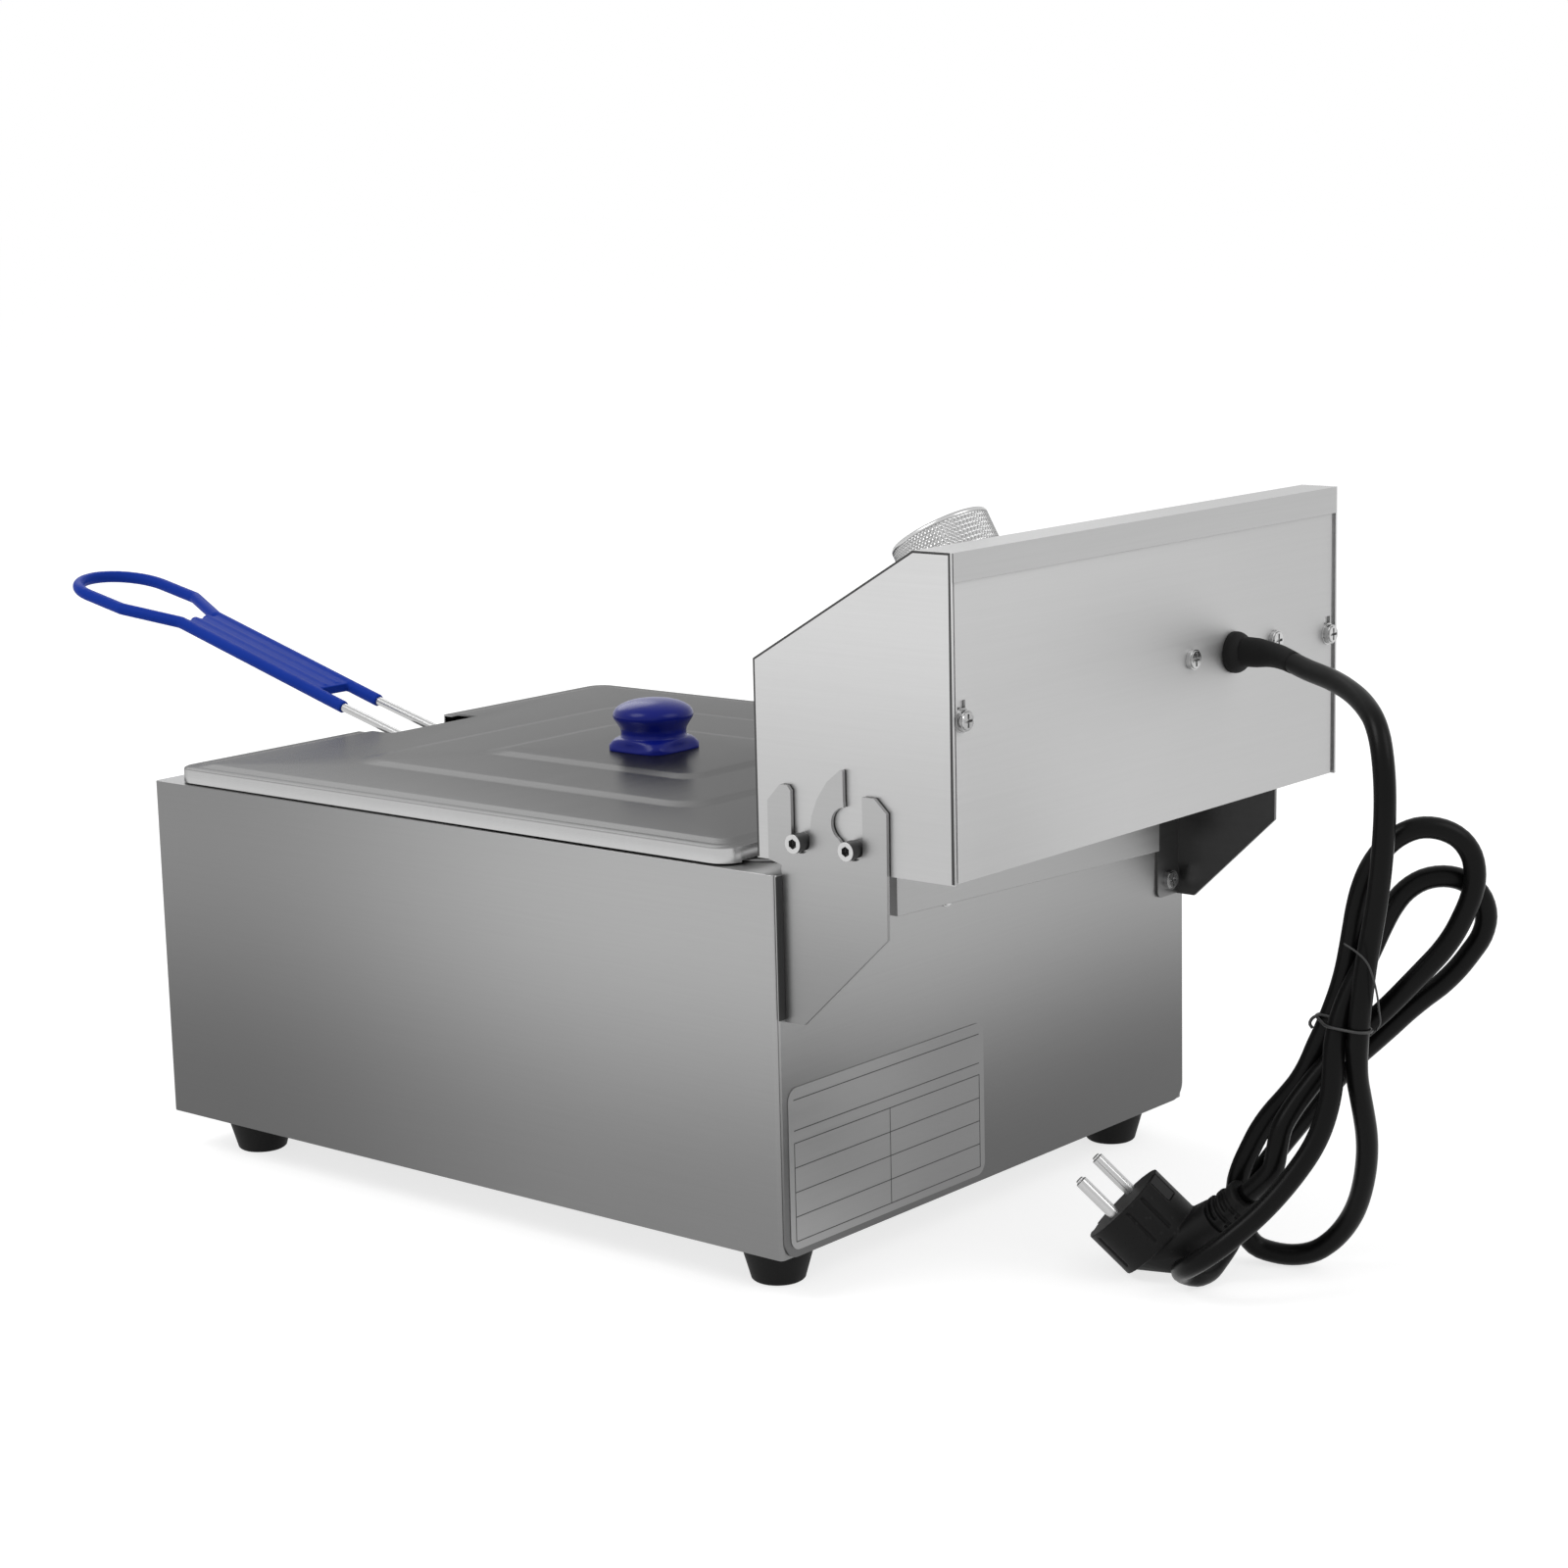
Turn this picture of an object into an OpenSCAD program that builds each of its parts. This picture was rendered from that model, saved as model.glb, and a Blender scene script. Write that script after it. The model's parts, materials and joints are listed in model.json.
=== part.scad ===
/* [Body] */
// Width of the casing, side to side
body_w = 270; // [250:1:300]
// Length of the casing, front panel to rear panel
body_l = 349; // [335:1:380]
// Height of the casing without its feet
body_h = 147; // [140:1:170]
// Height of one foot
foot_h = 17; // [12:1:25]
// Thickness of the casing's sheet
sheet = 1; // [0.8:0.1:1.5]

/* [Feet] */
// Diameter of a foot at the casing
foot_top_d = 29; // [24:1:32]
// Diameter of a foot at the floor
foot_bottom_d = 21; // [16:1:24]
// Distance of a foot's centre from the side of the casing
foot_in_x = 23; // [20:1:30]
// Distance of a rear foot's centre from the rear panel
foot_in_rear = 22.5; // [20:1:40]
// Distance of a front foot's centre from the front panel
foot_in_front = 31; // [20:1:40]

/* [Tank] */
// Distance from the casing's side to the tank's wall
tank_side = 20; // [17:1:24]
// Height of the tank's bottom above the casing's bottom
tank_gap = 16; // [12:1:25]
// Thickness of the tank's wall
tank_t = 1; // [0.8:0.1:1.5]
// Radius of the tank's upright corners
tank_r = 24; // [15:1:30]
// Width of the tank's rim
tank_rim = 8; // [5:1:9]
// Distance from the rear panel to the tank's rear wall
tank_rear = 11; // [11:1:14]
// Distance from the front panel to the tank's front wall
tank_front = 38; // [34:1:42]

/* [Control head] */
// How far the head's side stands in from the casing's side
head_in = 6; // [6:0.5:12]
// How far the head stands out behind the rear panel
head_over = 78; // [74:1:90]
// How far the head stands forward over the casing
head_fore = 12.9; // [12:0.1:14]
// Height of the head's underside above the casing's top
head_gap = 4.5; // [4:0.5:6]
// Height of the head's front edge above its underside
head_front_h = 73.8; // [65:0.1:80]
// Height of the head's top above its underside
head_h = 117; // [112:1:130]
// Length of the head's flat top, front to back
head_top_l = 17; // [14:1:24]
// How far the cover's rear lip hangs down
cover_lip = 10.5; // [8:0.5:14]
// Height of the cover's front lip above the head's underside
cover_front = 29.5; // [24:0.5:36]

/* [Hinge plates] */
// Thickness of a hinge plate
plate_t = 1.5; // [1:0.1:2]
// Gap between the head's side and a hinge plate
plate_gap = 0.5; // [0.3:0.1:0.8]
// Diameter of a pivot pin in its slot
pin_d = 6.6; // [5.6:0.1:6.7]
// Diameter of a pivot pin's head
pin_head_d = 7.1; // [6.8:0.1:8]
// How far a pivot pin stands out of the hinge plate
pin_out = 4.7; // [3:0.1:6]

/* [Thermostat knob] */
// Diameter of the thermostat knob
knob_d = 39; // [34:1:46]
// Height of the knob's face above the dial
knob_h = 20.5; // [14:0.5:24]
// Distance of the knob from the head's middle
knob_x = 51; // [40:1:60]
// Distance of the knob from the front edge, up the slope
knob_s = 42.7; // [38:0.1:46]
// Diameter of the thermostat's shaft
shaft_d = 6; // [5:0.1:7]
// Diameter of the dial plate
dial_d = 56; // [50:1:60]

/* [Lamps and reset button] */
// Diameter of an indicator lamp's lens
lamp_d = 12; // [8:0.5:16]
// Distance of the power lamp from the head's middle
lamp_x1 = -8; // [-12:1:0]
// Distance of the heating lamp from the head's middle
lamp_x2 = -36; // [-44:1:-28]
// Distance of the reset button from the head's middle
reset_x = -72; // [-90:1:-60]
// Diameter of the reset button
reset_d = 7; // [5:0.1:9]
// Travel of the reset button
reset_travel = 2; // [1.5:0.1:3]

/* [Heating element] */
// Diameter of the element's tube
el_d = 6.5; // [6:0.1:8.5]
// Height of the element's middle above the casing's bottom
el_z = 38; // [36:0.5:42]
// Distance from the tank's wall to the middle of the outermost run
el_side = 25; // [23:1:30]
// Distance from the tank's front wall to the front turns' centres
el_fore = 55; // [50:1:80]
// Radius of the bend below each leg
el_bend = 16; // [14:1:22]
// Diameter of the guard's wires
guard_wire = 4; // [3:0.1:5]

/* [Basket] */
// Distance from the tank's wall to the basket
basket_side = 19; // [16:1:30]
// Distance from the tank's front wall to the basket
basket_front = 27; // [24:1:50]
// Distance from the rear panel to the basket
basket_rear = 50; // [48:1:70]
// How far the basket's mesh ends below the casing's top
basket_drop = 9.2; // [8.7:0.1:18]
// Thickness of the basket's mesh
mesh_t = 1; // [0.8:0.1:1.5]
// Radius of the basket's upright corners
basket_r = 12; // [8:1:20]
// Diameter of the basket's rim wire
rim_wire = 5; // [4:0.1:6]
// Diameter of the handle's two wires
handle_wire = 4; // [3:0.1:4.1]
// Distance between the handle's two wires
handle_gap = 22; // [20:1:24]
// Diameter of the coated grip's rods
grip_d = 5.8; // [5.2:0.1:7]
// Length of the grip's straight part
grip_l = 117; // [100:1:130]
// Length of the open loop at the grip's end
loop_l = 78; // [70:1:90]
// Width of the open loop, between its wires' middles
loop_w = 46; // [40:1:50]

/* [Lid] */
// How far the lid's side stands in from the casing's side
lid_in = 2; // [1:0.5:4]
// Distance from the front panel to the lid's front edge
lid_front = 12; // [10:1:16]
// Height of the lid's lip
lid_lip = 6.2; // [5.8:0.1:8]
// Thickness of the lid's sheet
lid_t = 0.8; // [0.6:0.1:1]
// Height of one embossed step in the lid
lid_step = 1; // [0.6:0.1:2]
// Width of the handle notch in the lid's front
notch_w = 54; // [46:1:60]
// Length of the handle notch in the lid's front
notch_l = 22; // [16:1:24]
// Diameter of the lid knob's head
lidknob_d = 34.5; // [30:0.5:42]
// Height of the lid knob
lidknob_h = 21.5; // [18:0.5:30]
// Width of the lid knob's flared foot
lidknob_foot = 32; // [28:1:42]

/* [Cord] */
// Diameter of the mains cord
cord_d = 8.2; // [7:0.1:9]
// Diameter of the cord grommet
grommet_d = 16.3; // [14:0.1:20]
// How far the grommet stands out of the head's rear panel
grommet_out = 5.5; // [4:0.1:7]
// Distance of the cord outlet from the head's middle
cord_x = -52.7; // [-60:0.1:-46]
// Height of the cord outlet above the head's underside
cord_z = 59.5; // [50:0.5:66]
// Diameter of a plug pin
plug_pin_d = 4.8; // [4:0.1:5]
// Length of a plug pin
plug_pin_l = 19; // [15:1:20]

/* [Hidden] */
$fn = 48;
eps = 0.01;
head_w = body_w - 2 * head_in;
lid_rear = 24;
lid_l = body_l - lid_rear - lid_front;
el_front = body_l - tank_front - el_fore;
basket_l = body_l - tank_front - basket_front - basket_rear;
tank_w = body_w - 2 * tank_side;
tank_h = body_h - tank_gap;
lid_w = body_w - 2 * lid_in;
basket_w = tank_w - 2 * basket_side;
el_pitch = (tank_w - 2 * el_side) / 5;

// handle profile in the machine frame, front to back as distance from the rear panel
lid_gap = 0.6;
lid_z = body_h + lid_gap;
grip_pitch = 15.7;
grip_z0 = body_h + 13.1;
grip_y0 = -(body_l + 13.9);
loop_pitch = 11.7;
web_end = [grip_y0 - grip_l * cos(grip_pitch), grip_z0 + grip_l * sin(grip_pitch)];
handle_out = -(web_end[0] - (loop_l + grip_d / 2) * cos(loop_pitch)) - body_l;

// the machine frame's rear panel lies at yb, so that the whole is centred over the origin
yb = (body_l + handle_out - head_over - grommet_out + 1) / 2;

module at() translate([0, yb, foot_h]) children();

// control head: its underside is the plane z = hz
hz = body_h + head_gap;
slope_y = head_over - head_top_l + head_fore;
slope_z = head_h - head_front_h;
slope_a = atan2(slope_z, slope_y);
slope_len = norm([slope_y, slope_z]);

// on the slope: x across, s up the slope from the front edge, z outwards
module slope(x, s, z = 0)
    at() translate([0, -head_fore, hz + head_front_h]) rotate([slope_a, 0, 0])
        translate([x, s, z]) children();

// a straight round rod between two points
module rod(a, b, r) {
    v = b - a;
    l = norm(v);
    translate(a) rotate([0, acos(v[2] / l), atan2(v[1], v[0])]) cylinder(r = r, h = l);
}

// a chain of rods with round joints
module chain(p, r, grow = 0.03) {
    for (i = [0:len(p) - 2]) rod(p[i], p[i + 1], r);
    for (i = [1:len(p) - 2]) translate(p[i]) sphere(r = r + grow);
}

// a box with rounded upright edges
module rbox(x0, x1, y0, y1, z0, z1, r) {
    translate([x0 + r, y0, z0]) cube([x1 - x0 - 2 * r, y1 - y0, z1 - z0]);
    translate([x0, y0 + r, z0]) cube([x1 - x0, y1 - y0 - 2 * r, z1 - z0]);
    for (x = [x0 + r, x1 - r])
        for (y = [y0 + r, y1 - r])
            translate([x, y, z0]) cylinder(r = r, h = z1 - z0);
}

// a plain box between two corners
module bx(x0, x1, y0, y1, z0, z1)
    translate([x0, y0, z0]) cube([x1 - x0, y1 - y0, z1 - z0]);

// a profile in the y-z plane drawn out from x0 to x1
module sideways(x0, x1)
    translate([x0, 0, 0]) rotate([90, 0, 90]) linear_extrude(x1 - x0) children();

// a pan-head screw along -y, its head on the plane y = 0
module pan_screw(d, head_d, head_h, l) {
    rotate([-90, 0, 0]) difference() {
        union() {
            cylinder(r = head_d / 2 - 0.6, h = head_h);
            cylinder(r = head_d / 2, h = head_h - 0.6);
        }
        translate([-head_d * 0.32, -0.5, head_h - 1.1]) cube([head_d * 0.64, 1, 2]);
        translate([-0.5, -head_d * 0.32, head_h - 1.1]) cube([1, head_d * 0.64, 2]);
    }
    rotate([90, 0, 0]) cylinder(r = d / 2, h = l);
}

// ---------------------------------------------------------------- casing

half = body_w / 2;
tank_fit = 1;
tank_y1 = -tank_rear;
tank_y0 = -(body_l - tank_front);
rim_t = 1;
rear_t = 1;
foot_x = half - foot_in_x;
foot_y = [-foot_in_rear, -(body_l - foot_in_front)];
foot_hole = 4.6;
return_w = 12;

module outer_casing() {
    color("silver") at() difference() {
        rbox(-half, half, -body_l, -rear_t, 0, body_h, 2);
        rbox(-half + sheet, half - sheet, -body_l + sheet, -rear_t - sheet, -1, body_h - sheet, 1.2);
        bx(-half + return_w, half - return_w, -rear_t - 2 * sheet, 1, -1, body_h - sheet);
        rbox(-tank_w / 2 - tank_fit, tank_w / 2 + tank_fit, tank_y0 - tank_fit, tank_y1 + tank_fit,
            body_h - 2 * sheet, body_h + 1, tank_r + tank_fit);
        for (s = [-1, 1]) translate([s * flange_screw[0], 1, flange_screw[1]]) rotate([90, 0, 0])
            cylinder(r = 2.05, h = 5);
    }
}

module rear_panel() {
    color("silver") at() difference() {
        union() {
            bx(-half + 1, half - 1, -rear_t, 0, 7.2, body_h);
            bx(-half + 8, half - 8, -rear_t, 0, 0.2, 7.2 + eps);
            for (s = [-1, 1]) translate([s * (half - 8), 0, 7.2]) rotate([90, 0, 0])
                cylinder(r = 7, h = rear_t);
        }
        for (p = rear_screws) translate([p[0], 1, p[1]]) rotate([90, 0, 0]) cylinder(r = 2.05, h = 4);
    }
}

base_z = 0.3;
module base_plate() {
    color("gray") at() difference() {
        rbox(-half + sheet, half - sheet, -body_l + sheet, -rear_t - sheet, base_z, base_z + sheet, 1.5);
        for (x = [-foot_x, foot_x]) for (y = foot_y)
            translate([x, y, base_z - 1]) cylinder(r = foot_hole / 2, h = sheet + 2);
        // vent slots under the tank
        for (x = [-60:20:60]) bx(x - 3, x + 3, -body_l * 0.6, -body_l * 0.4, base_z - 1, base_z + sheet + 1);
    }
}

module tank() {
    color("silver") at() difference() {
        union() {
            rbox(-tank_w / 2, tank_w / 2, tank_y0, tank_y1, body_h - tank_h, body_h + rim_t, tank_r);
            rbox(-tank_w / 2 - tank_rim, tank_w / 2 + tank_rim, tank_y0 - tank_rim,
                tank_y1 + tank_rim, body_h, body_h + rim_t, tank_r + tank_rim);
        }
        rbox(-tank_w / 2 + tank_t, tank_w / 2 - tank_t, tank_y0 + tank_t, tank_y1 - tank_t,
            body_h - tank_h + tank_t, body_h + rim_t + 1, tank_r - tank_t);
    }
}

// strip folded out of the rear panel, below the head
apron_in = [27, 64.4];
apron_h = [33, 26.8];
apron_x0 = -(half - apron_in[0]);
apron_x1 = half - apron_in[1];
apron_out = 6;
apron_t = 1.2;
apron_b0 = body_h - apron_h[0];
apron_b1 = body_h - apron_h[1];
module rear_apron() {
    color("silver") at() {
        difference() {
            translate([0, 0, 0]) rotate([90, 0, 0]) translate([0, 0, -apron_out])
                linear_extrude(apron_out) polygon([[apron_x0, apron_b0], [apron_x1, apron_b1],
                    [apron_x1, body_h - 1], [apron_x0, body_h - 1]]);
            bx(apron_x0 + apron_t, apron_x1 - apron_t, -1, apron_out - apron_t, 0, body_h - 1 - apron_t);
        }
    }
}

flange_screw = [half - 13, hz - 52.5];
apron_screw = [34, body_h - 26];
rear_screws = [[flange_screw[0], flange_screw[1]], [-flange_screw[0], flange_screw[1]],
    [apron_screw[0], apron_screw[1]], [-apron_screw[0], apron_screw[1]]];

module rear_panel_screws() {
    color("lightgray") at() for (s = [-1, 1])
        translate([s * apron_screw[0], 0, apron_screw[1]]) pan_screw(4, 8.6, 2.6, 6);
}

module bracket_screws() {
    color("lightgray") at() for (s = [-1, 1])
        translate([s * flange_screw[0], flange_t, flange_screw[1]]) pan_screw(4, 8.2, 2.6, 6 + flange_t);
}

// ---------------------------------------------------------------- hinge plates

flange_t = 1.2;
px0 = head_w / 2 + plate_gap;
px1 = px0 + plate_t;
// the two pins, as distance behind the rear panel and height above the head's underside
pin_front = [9.3, 8.5];
pin_rear = [33.8, 8.5];
slot_r = 4.25;
notch_c = [30, 17];
notch_r = 6.3;
flange_w = 15.9;
flange_r = 3;
flange_z = [59.5, 6];

// outline of a hinge plate: y from the rear panel, z from the head's underside
module plate_outline() {
    difference() {
        union() {
            polygon([[0, -60], [9, -60], [48.5, -23], [49, 23], [43.5, 28], [38, 28],
                [29.8, 28], [29.8, 36.2], [29, 36.8], [28.1, 36.7], [22, 31.8], [17.4, 25.2],
                [14.6, 18.5], [13.6, 11], [13.5, 8.5], [5, 8.5], [5, 27], [3.4, 28.8], [0, 28.8],
                [-6, 22.5], [-6, 0.5], [0, -1]]);
        }
        translate(pin_front) circle(r = slot_r);
        translate(pin_rear) circle(r = slot_r);
        translate([pin_rear[0] - slot_r, pin_rear[1]]) square([2 * slot_r, 40]);
        translate(notch_c) circle(r = notch_r);
        polygon([[29.56, 8.5], [25.9, 12.8], [29.8, 23], [29.4, 26], [29.4, 40], [38, 40], [38, 8.5]]);
    }
}

module hinge_plate(s) {
    at() mirror([s < 0 ? 1 : 0, 0, 0]) {
        translate([0, 0, hz]) sideways(px0, px1) plate_outline();
        // foot of the plate on the rear panel
        difference() {
            union() {
                bx(px0 - flange_w + flange_r, px1, 0, flange_t, hz - flange_z[0], hz - flange_z[1]);
                bx(px0 - flange_w, px0 - flange_w + flange_r + 1, 0, flange_t,
                    hz - flange_z[0] + flange_r, hz - flange_z[1] - flange_r);
                for (z = [hz - flange_z[0] + flange_r, hz - flange_z[1] - flange_r])
                    translate([px0 - flange_w + flange_r, 0, z]) rotate([-90, 0, 0]) cylinder(r = flange_r, h = flange_t);
            }
            translate([flange_screw[0], -1, flange_screw[1]]) rotate([-90, 0, 0]) cylinder(r = 2.05, h = 4);
        }
    }
}

module bracket_right() color("silver") hinge_plate(1);

module bracket_left() color("silver") hinge_plate(-1);

// four pins, two in each side of the head, each with a socket head outside the hinge plate
module pivot_pins() {
    color("lightgray") at() for (s = [-1, 1]) for (p = [pin_front, pin_rear])
        translate([0, p[0], hz + p[1]]) mirror([s < 0 ? 1 : 0, 0, 0]) difference() {
            union() {
                rotate([0, 90, 0]) translate([0, 0, head_w / 2 - side_t - 3])
                    cylinder(r = 2, h = 3 + side_t + eps);
                rotate([0, 90, 0]) translate([0, 0, head_w / 2])
                    cylinder(r = pin_d / 2, h = px1 - head_w / 2 + 0.3 + eps);
                rotate([0, 90, 0]) translate([0, 0, px1 + 0.3])
                    cylinder(r = pin_head_d / 2, h = pin_out - 0.3);
                // nut inside the head
                rotate([0, 90, 0]) translate([0, 0, head_w / 2 - side_t - 3])
                    cylinder(r = 3.9, h = 3, $fn = 6);
            }
            rotate([0, 90, 0]) translate([0, 0, px1 + pin_out - 2.2]) cylinder(r = 1.9, h = 4, $fn = 6);
        }
}

label_w = 121;
label_h = 62.5;
module label_plate() {
    color("gainsboro") at() translate([10, 0.3, 3]) rotate([90, 0, 0])
        rbox(0, label_w, 0, label_h, 0, 0.3, 5);
}

// ---------------------------------------------------------------- feet

foot_sink = 9;
module feet() {
    color("black") translate([0, yb, 0]) for (x = [-foot_x, foot_x]) for (y = foot_y)
        translate([x, y, 0]) difference() {
            rotate_extrude($fn = 48) polygon([[0, 0], [foot_bottom_d / 2 - 1, 0], [foot_bottom_d / 2, 1],
                [foot_top_d / 2, foot_h - 2], [foot_top_d / 2, foot_h], [0, foot_h]]);
            translate([0, 0, -1]) cylinder(r = 4.6, h = foot_sink + 1);
            translate([0, 0, foot_sink - 1]) cylinder(r = foot_hole / 2, h = foot_h);
        }
}

module foot_screws() {
    color("lightgray") translate([0, yb, 0]) for (x = [-foot_x, foot_x]) for (y = foot_y)
        translate([x, y, 0]) {
            translate([0, 0, foot_sink - 3]) cylinder(r = 4, h = 3);
            translate([0, 0, foot_sink - eps]) cylinder(r = 2, h = foot_h - foot_sink + base_z + sheet + 4);
            translate([0, 0, foot_h + base_z + sheet]) cylinder(r = 4, h = 3, $fn = 6);
        }
}

// ---------------------------------------------------------------- control head

side_t = 1;
cover_t = 1;
hx = head_w / 2;
fold_w = 12;
rear_in = 1;
// outer face of the head's rear panel
panel_y = head_over - cover_t - 0.2;

// outline of the head seen from the side, y from the rear panel, z from its underside
function head_pts(i) = [[-head_fore + i, i], [-head_fore + i, head_front_h - i * tan(slope_a / 2)],
    [head_over - head_top_l - i * tan(slope_a / 2), head_h - i], [head_over - i, head_h - i], [head_over - i, i]];

module head_chassis() {
    color("silver") at() translate([0, 0, hz]) difference() {
        union() {
            // sides
            difference() {
                sideways(-hx, hx) polygon(head_pts(0));
                sideways(-hx + side_t, hx - side_t)
                    polygon([[-head_fore - 1, -1], [-head_fore - 1, head_h + 1], [head_over + 1, head_h + 1],
                        [head_over + 1, -1]]);
            }
            // bottom and front wall
            bx(-hx + side_t - eps, hx - side_t + eps, -head_fore, panel_y - rear_in - 0.1, 0, side_t);
            bx(-hx + side_t - eps, hx - side_t + eps, -head_fore, -head_fore + side_t, 0, cover_front - 0.5);
            // folded rear edges of the sides
            for (s = [-1, 1]) bx(s > 0 ? hx - fold_w : -hx + side_t - eps, s > 0 ? hx - side_t + eps : -hx + fold_w,
                panel_y - rear_in - 0.1 - side_t, panel_y - rear_in - 0.1, side_t, head_h - 8);
        }
        // the sides stop short of the cover's rear lip
        bx(-hx - 1, hx + 1, head_over - 0.4, head_over + 2, -1, head_h + 1);
        for (s = [-1, 1]) for (p = [pin_front, pin_rear])
            translate([s * hx, p[0], p[1]]) rotate([0, 90, 0]) cylinder(r = 2.05, h = 6, center = true);
        for (s = [-1, 1]) translate([s * key_x, panel_y - 6, key_z]) rotate([-90, 0, 0]) cylinder(r = 2.05, h = 8);
        // way out for the element box
        bx(-box_x + 2, box_x - 2, -head_fore - 1, -head_fore + 2, side_t + 1.5, box_h - 3);
    }
}

module control_cover() {
    w = hx - side_t - 0.2;
    color("gainsboro") difference() {
        at() translate([0, 0, hz]) difference() {
            sideways(-w, w) polygon([[-head_fore, cover_front], [-head_fore, head_front_h],
                [head_over - head_top_l, head_h], [head_over, head_h], [head_over, head_h - cover_lip],
                [head_over - cover_t, head_h - cover_lip], [head_over - cover_t, head_h - cover_t],
                [head_over - head_top_l + cover_t * tan(slope_a / 2), head_h - cover_t],
                [-head_fore + cover_t, head_front_h - cover_t * tan(45 - slope_a / 2) + 0.2],
                [-head_fore + cover_t, cover_front]]);
            // the two end edges are turned down beside the sides
        }
        slope(knob_x, knob_s, -5) cylinder(r = shaft_d / 2 + 1, h = 10);
        slope(lamp_x1, knob_s, -5) cylinder(r = lamp_d / 2 - 1 + 0.1, h = 10);
        slope(lamp_x2, knob_s, -5) cylinder(r = lamp_d / 2 - 1 + 0.1, h = 10);
        slope(reset_x, knob_s, -5) cylinder(r = reset_d / 2 + 1.5, h = 10);
    }
}

key_x = hx - 6;
key_z = 58;
clamp_z = 60.5;
clamp_x = [cord_x + 29.7, cord_x - 29.8];
panel_x = hx - side_t - 1.8;

module head_rear_panel() {
    color("silver") at() translate([0, panel_y, hz]) difference() {
        union() {
            bx(-panel_x, panel_x, -rear_in, 0, 0.3, head_h - cover_t - 0.3);
        }
        for (s = [-1, 1]) {
            translate([s * key_x, -3, key_z]) rotate([-90, 0, 0]) cylinder(r = 2.3, h = 6);
            bx(s * key_x - 2.3, s * key_x + 2.3, -3, 3, key_z, key_z + 7);
        }
        translate([cord_x, -3, cord_z]) rotate([-90, 0, 0]) cylinder(r = grommet_d / 2 - 1.5, h = 6);
        for (x = clamp_x) translate([x, -3, clamp_z]) rotate([-90, 0, 0]) cylinder(r = 2.05, h = 6);
    }
}

// pan-head screws with washers in the two keyholes
module head_panel_screws() {
    color("lightgray") at() for (s = [-1, 1])
        translate([s * key_x, panel_y, hz + key_z]) {
            rotate([-90, 0, 0]) cylinder(r = 4.4, h = 0.7);
            translate([0, 0.7 - eps, 0]) pan_screw(3.9, 7.6, 2.4, 6.5);
        }
}

leg_x = 2.5 * el_pitch;
box_x = leg_x + 14;
box_y = 10;
box_h = 14;
leg_y = -head_fore - 5.4;
cap_x = 40;
module element_box() {
    color("silver") at() translate([0, 0, hz]) difference() {
        bx(-box_x, box_x, -head_fore - box_y, -head_fore, 0, box_h);
        bx(-box_x + 1.2, box_x - 1.2, -head_fore - box_y + 1.2, -head_fore + 1, 1.2, box_h - 1.2);
        for (s = [-1, 1]) {
            translate([s * leg_x, leg_y, -1]) cylinder(r = el_d / 2 + 0.05, h = 4);
            translate([s * cap_x, leg_y, -1]) cylinder(r = 1.35, h = 4);
        }
    }
}

// quarter turn in the y-z plane from a leg going down to a run going forward
module leg_bend() {
    rotate([0, 0, 180]) rotate([90, 0, 90]) rotate([0, 0, 180]) children();
}

module u_turn(r) {
    rotate_extrude(angle = 180, $fn = 48) translate([r, 0]) circle(r = el_d / 2, $fn = 32);
}

run_rear = -foot_in_rear * 0 - 78;
module heating_element() {
    r = el_d / 2;
    color("dimgray") at() {
        for (s = [-1, 1]) {
            // leg, from inside the element box down to its bend
            translate([s * leg_x, leg_y, el_z + el_bend]) cylinder(r = r, h = hz + 8 - el_z - el_bend);
            translate([s * leg_x, leg_y - el_bend, el_z + el_bend]) rotate([90, 0, 90])
                rotate([0, 0, -90]) rotate_extrude(angle = 90, $fn = 48)
                    translate([el_bend, 0]) circle(r = r, $fn = 32);
            // outer runs
            translate([s * leg_x, leg_y - el_bend, el_z]) rotate([90, 0, 0])
                cylinder(r = r, h = el_front + leg_y - el_bend);
            // inner runs
            for (k = [0.5, 1.5]) translate([s * k * el_pitch, run_rear, el_z]) rotate([90, 0, 0])
                cylinder(r = r, h = el_front + run_rear);
            // turns
            translate([s * 2 * el_pitch, -el_front, el_z]) rotate([0, 0, 180]) u_turn(el_pitch / 2);
            translate([s * el_pitch, run_rear, el_z]) u_turn(el_pitch / 2);
        }
        translate([0, -el_front, el_z]) rotate([0, 0, 180]) u_turn(el_pitch / 2);
    }
}

g_r = guard_wire / 2;
g_z0 = el_z + el_d / 2 + g_r + 0.05;
g_z1 = g_z0 + guard_wire * 0.8;
g_x = leg_x + 11;
g_y0 = -el_front - el_pitch / 2 - 2;
g_y1 = -52;
module element_guard() {
    color("lightgray") at() {
        for (k = [0:5]) {
            y = g_y1 + (g_y0 - g_y1) * k / 5;
            rod([-g_x, y, g_z0], [g_x, y, g_z0], g_r);
        }
        for (k = [-4:4]) rod([k * g_x / 4.4, g_y0 - 1, g_z1], [k * g_x / 4.4, g_y1 + 1, g_z1], g_r);
    }
}

thermo_w = 36;
module thermostat_body() {
    color("dimgray") slope(knob_x, knob_s) {
        translate([-thermo_w / 2, -thermo_w / 2, -cover_t - 0.2 - 26]) cube([thermo_w, thermo_w, 26]);
        translate([0, 0, -cover_t - 1]) cylinder(r = shaft_d / 2, h = cover_t + 1 + knob_h - 6);
    }
}

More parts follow.
